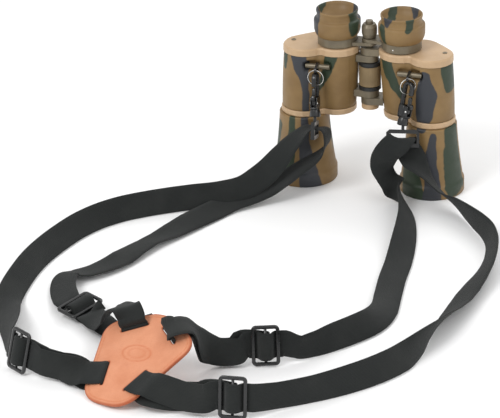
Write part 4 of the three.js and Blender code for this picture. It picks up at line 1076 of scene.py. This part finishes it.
def yoke():
    """The leather, with a groove along its border and two plain oval rings pressed into its middle."""
    rounding = 0.0007
    data = bpy.data.curves.new("yoke_cut", "CURVE")
    data.dimensions, data.fill_mode = "2D", "BOTH"
    data.extrude = YOKE_THICK / 2 - rounding
    data.bevel_depth, data.bevel_resolution = rounding, 3
    data.offset = -rounding
    spline(data, yoke_outline())
    holes = [slot_outline(key) for key in SLOTS]
    for hole in holes:
        spline(data, hole)
    cutter = linked("yoke_cut", data)
    bpy.context.view_layer.update()
    mesh = bpy.data.meshes.new_from_object(cutter.evaluated_get(bpy.context.evaluated_depsgraph_get()))
    bpy.data.objects.remove(cutter)
    work = bmesh.new()
    work.from_mesh(mesh)
    bmesh.ops.remove_doubles(work, verts=work.verts, dist=2e-6)
    cut_step = 0.00125
    for way, start, stop in ((Vector((1, 0, 0)), -0.054, 0.054), (Vector((0, 1, 0)), -0.058, 0.048)):
        for at in np.arange(start, stop, cut_step):
            everything = list(work.verts) + list(work.edges) + list(work.faces)
            bmesh.ops.bisect_plane(work, geom=everything, plane_co=way * at, plane_no=way, dist=1e-6)
    work.to_mesh(mesh)
    work.free()
    co = np.array([v.co for v in mesh.vertices])
    plan = co[:, :2] / MM
    rim = distance_to(plan, yoke_outline())
    hole_rim = np.min([distance_to(plan, h) for h in holes], axis=0)
    top = co[:, 2] > YOKE_THICK / 2 - 1e-5
    groove = 0.00035 * np.exp(-(((rim - 3.6) / 0.55) ** 2))
    oval = np.hypot(plan[:, 0] / 15, (plan[:, 1] - 1) / 8.5)
    emblem = 0.0004 * np.exp(-(((oval - 1) * 11 / 0.8) ** 2))
    emblem += 0.0002 * np.exp(-(((oval - 0.6) * 11 / 1.2) ** 2))
    co[:, 2] -= np.where(top, groove + emblem, 0)
    mesh.vertices.foreach_set("co", co.astype(np.float32).ravel())
    edge = np.minimum(rim, hole_rim * 1.4)
    edge = np.where(top, edge, 0.2)
    edge = np.where(co[:, 2] < -YOKE_THICK / 2 + 1e-5, np.minimum(rim, 3.0), edge)
    pressed = np.where(top, np.clip((groove + emblem) / 0.0004, 0, 1) * 0.7, 0)
    store(mesh, "edge", edge)
    store(mesh, "pressed", pressed)
    mesh.transform(Matrix.Translation(HINGE + YOKE_PLACE) @ YOKE_TURN.to_4x4())
    made = linked("yoke_leather", mesh)
    point_out(mesh)
    dress(made, "leather", ROOT, ("leather_yoke",))


# ---- CAD nodes that stay, with rounded edges and their own finish ----
BEVELS = {
    "top_cover": 0.0011, "housing_base_band": 0.0006, "hook_webbing_loop": 0.0003,
    "lug_cord_loop": 0.0004, "hinge_lug": 0.0006, "hinge_foot": 0.0006,
    "hinge_cap": 0.0008, "focus_wheel": 0.0005, "bridge_arm": 0.0007, "bridge_spindle": 0.0004,
    "dioptre_ring": 0.0006, "eyepiece_tube": 0.0005, "strap_lug_bar": 0.0008,
    "objective_retaining_ring": 0.0003,
}


def finish_cad_nodes():
    slots = {row["node"]: row["material_slot"] for row in frame["record"]["subparts"]}
    for name, node in frame["nodes"].items():
        if node.hide_render:
            continue
        node.data.materials.clear()
        node.data.materials.append(MATERIALS[slots[name]])
        node.data.polygons.foreach_set("use_smooth", [True] * len(node.data.polygons))
        kind = next((k for k in sorted(BEVELS, key=len, reverse=True) if name.startswith(k)), None)
        add_bevel(node, BEVELS.get(kind, 0.0002), 26)


# ---- stage ----
def make_stage():
    n = Nodes("pale_floor")
    n.colour(n.mix(n.noise(2, 3), (0.93, 0.93, 0.93), (0.95, 0.95, 0.95)))
    n.set(Roughness=0.9, Specular_IOR_Level=0.1)
    mesh = bpy.data.meshes.new("floor")
    reach = 8.0
    mesh.from_pydata([(-reach, -reach, 0), (reach, -reach, 0), (reach, reach, 0), (-reach, reach, 0)], [],
                     [(0, 1, 2, 3)])
    mesh.materials.append(n.material)
    linked("floor", mesh)

    world = bpy.data.worlds.new("studio")
    world.use_nodes = True
    background = world.node_tree.nodes["Background"]
    background.inputs["Color"].default_value = (1, 1, 1, 1)
    background.inputs["Strength"].default_value = 0.8
    bpy.context.scene.world = world
    bpy.context.scene.view_settings.view_transform = "Standard"
    for name, place, size, power in (
        ("key", (-0.9, -1.5, 1.9), 1.1, 25),
        ("fill", (1.5, -0.9, 1.3), 1.4, 7),
        ("rim", (0.3, 1.6, 1.6), 1.2, 10),
    ):
        data = bpy.data.lights.new(name, "AREA")
        data.shape, data.size, data.energy = "DISK", size, power
        lamp = linked(name, data)
        lamp.location = place
        aim = Vector((0, 0, 0.05)) - lamp.location
        lamp.rotation_mode = "QUATERNION"
        lamp.rotation_quaternion = aim.to_track_quat("-Z", "Y")


# ---- assembly ----
make_camera()
MATERIALS = make_materials()
strap("left", "upper_left", "lower_left")
strap("right", "upper_right", "lower_right")
yoke()
for side_name in SIDES:
    armour(side_name)
    barrel(side_name)
    eyecup(side_name)
    split_ring(side_name)
    hook(side_name)
    rivets(side_name)
for slide_name in SLIDES:
    slide(slide_name)
focus_grip()
small_parts()
finish_cad_nodes()
make_stage()
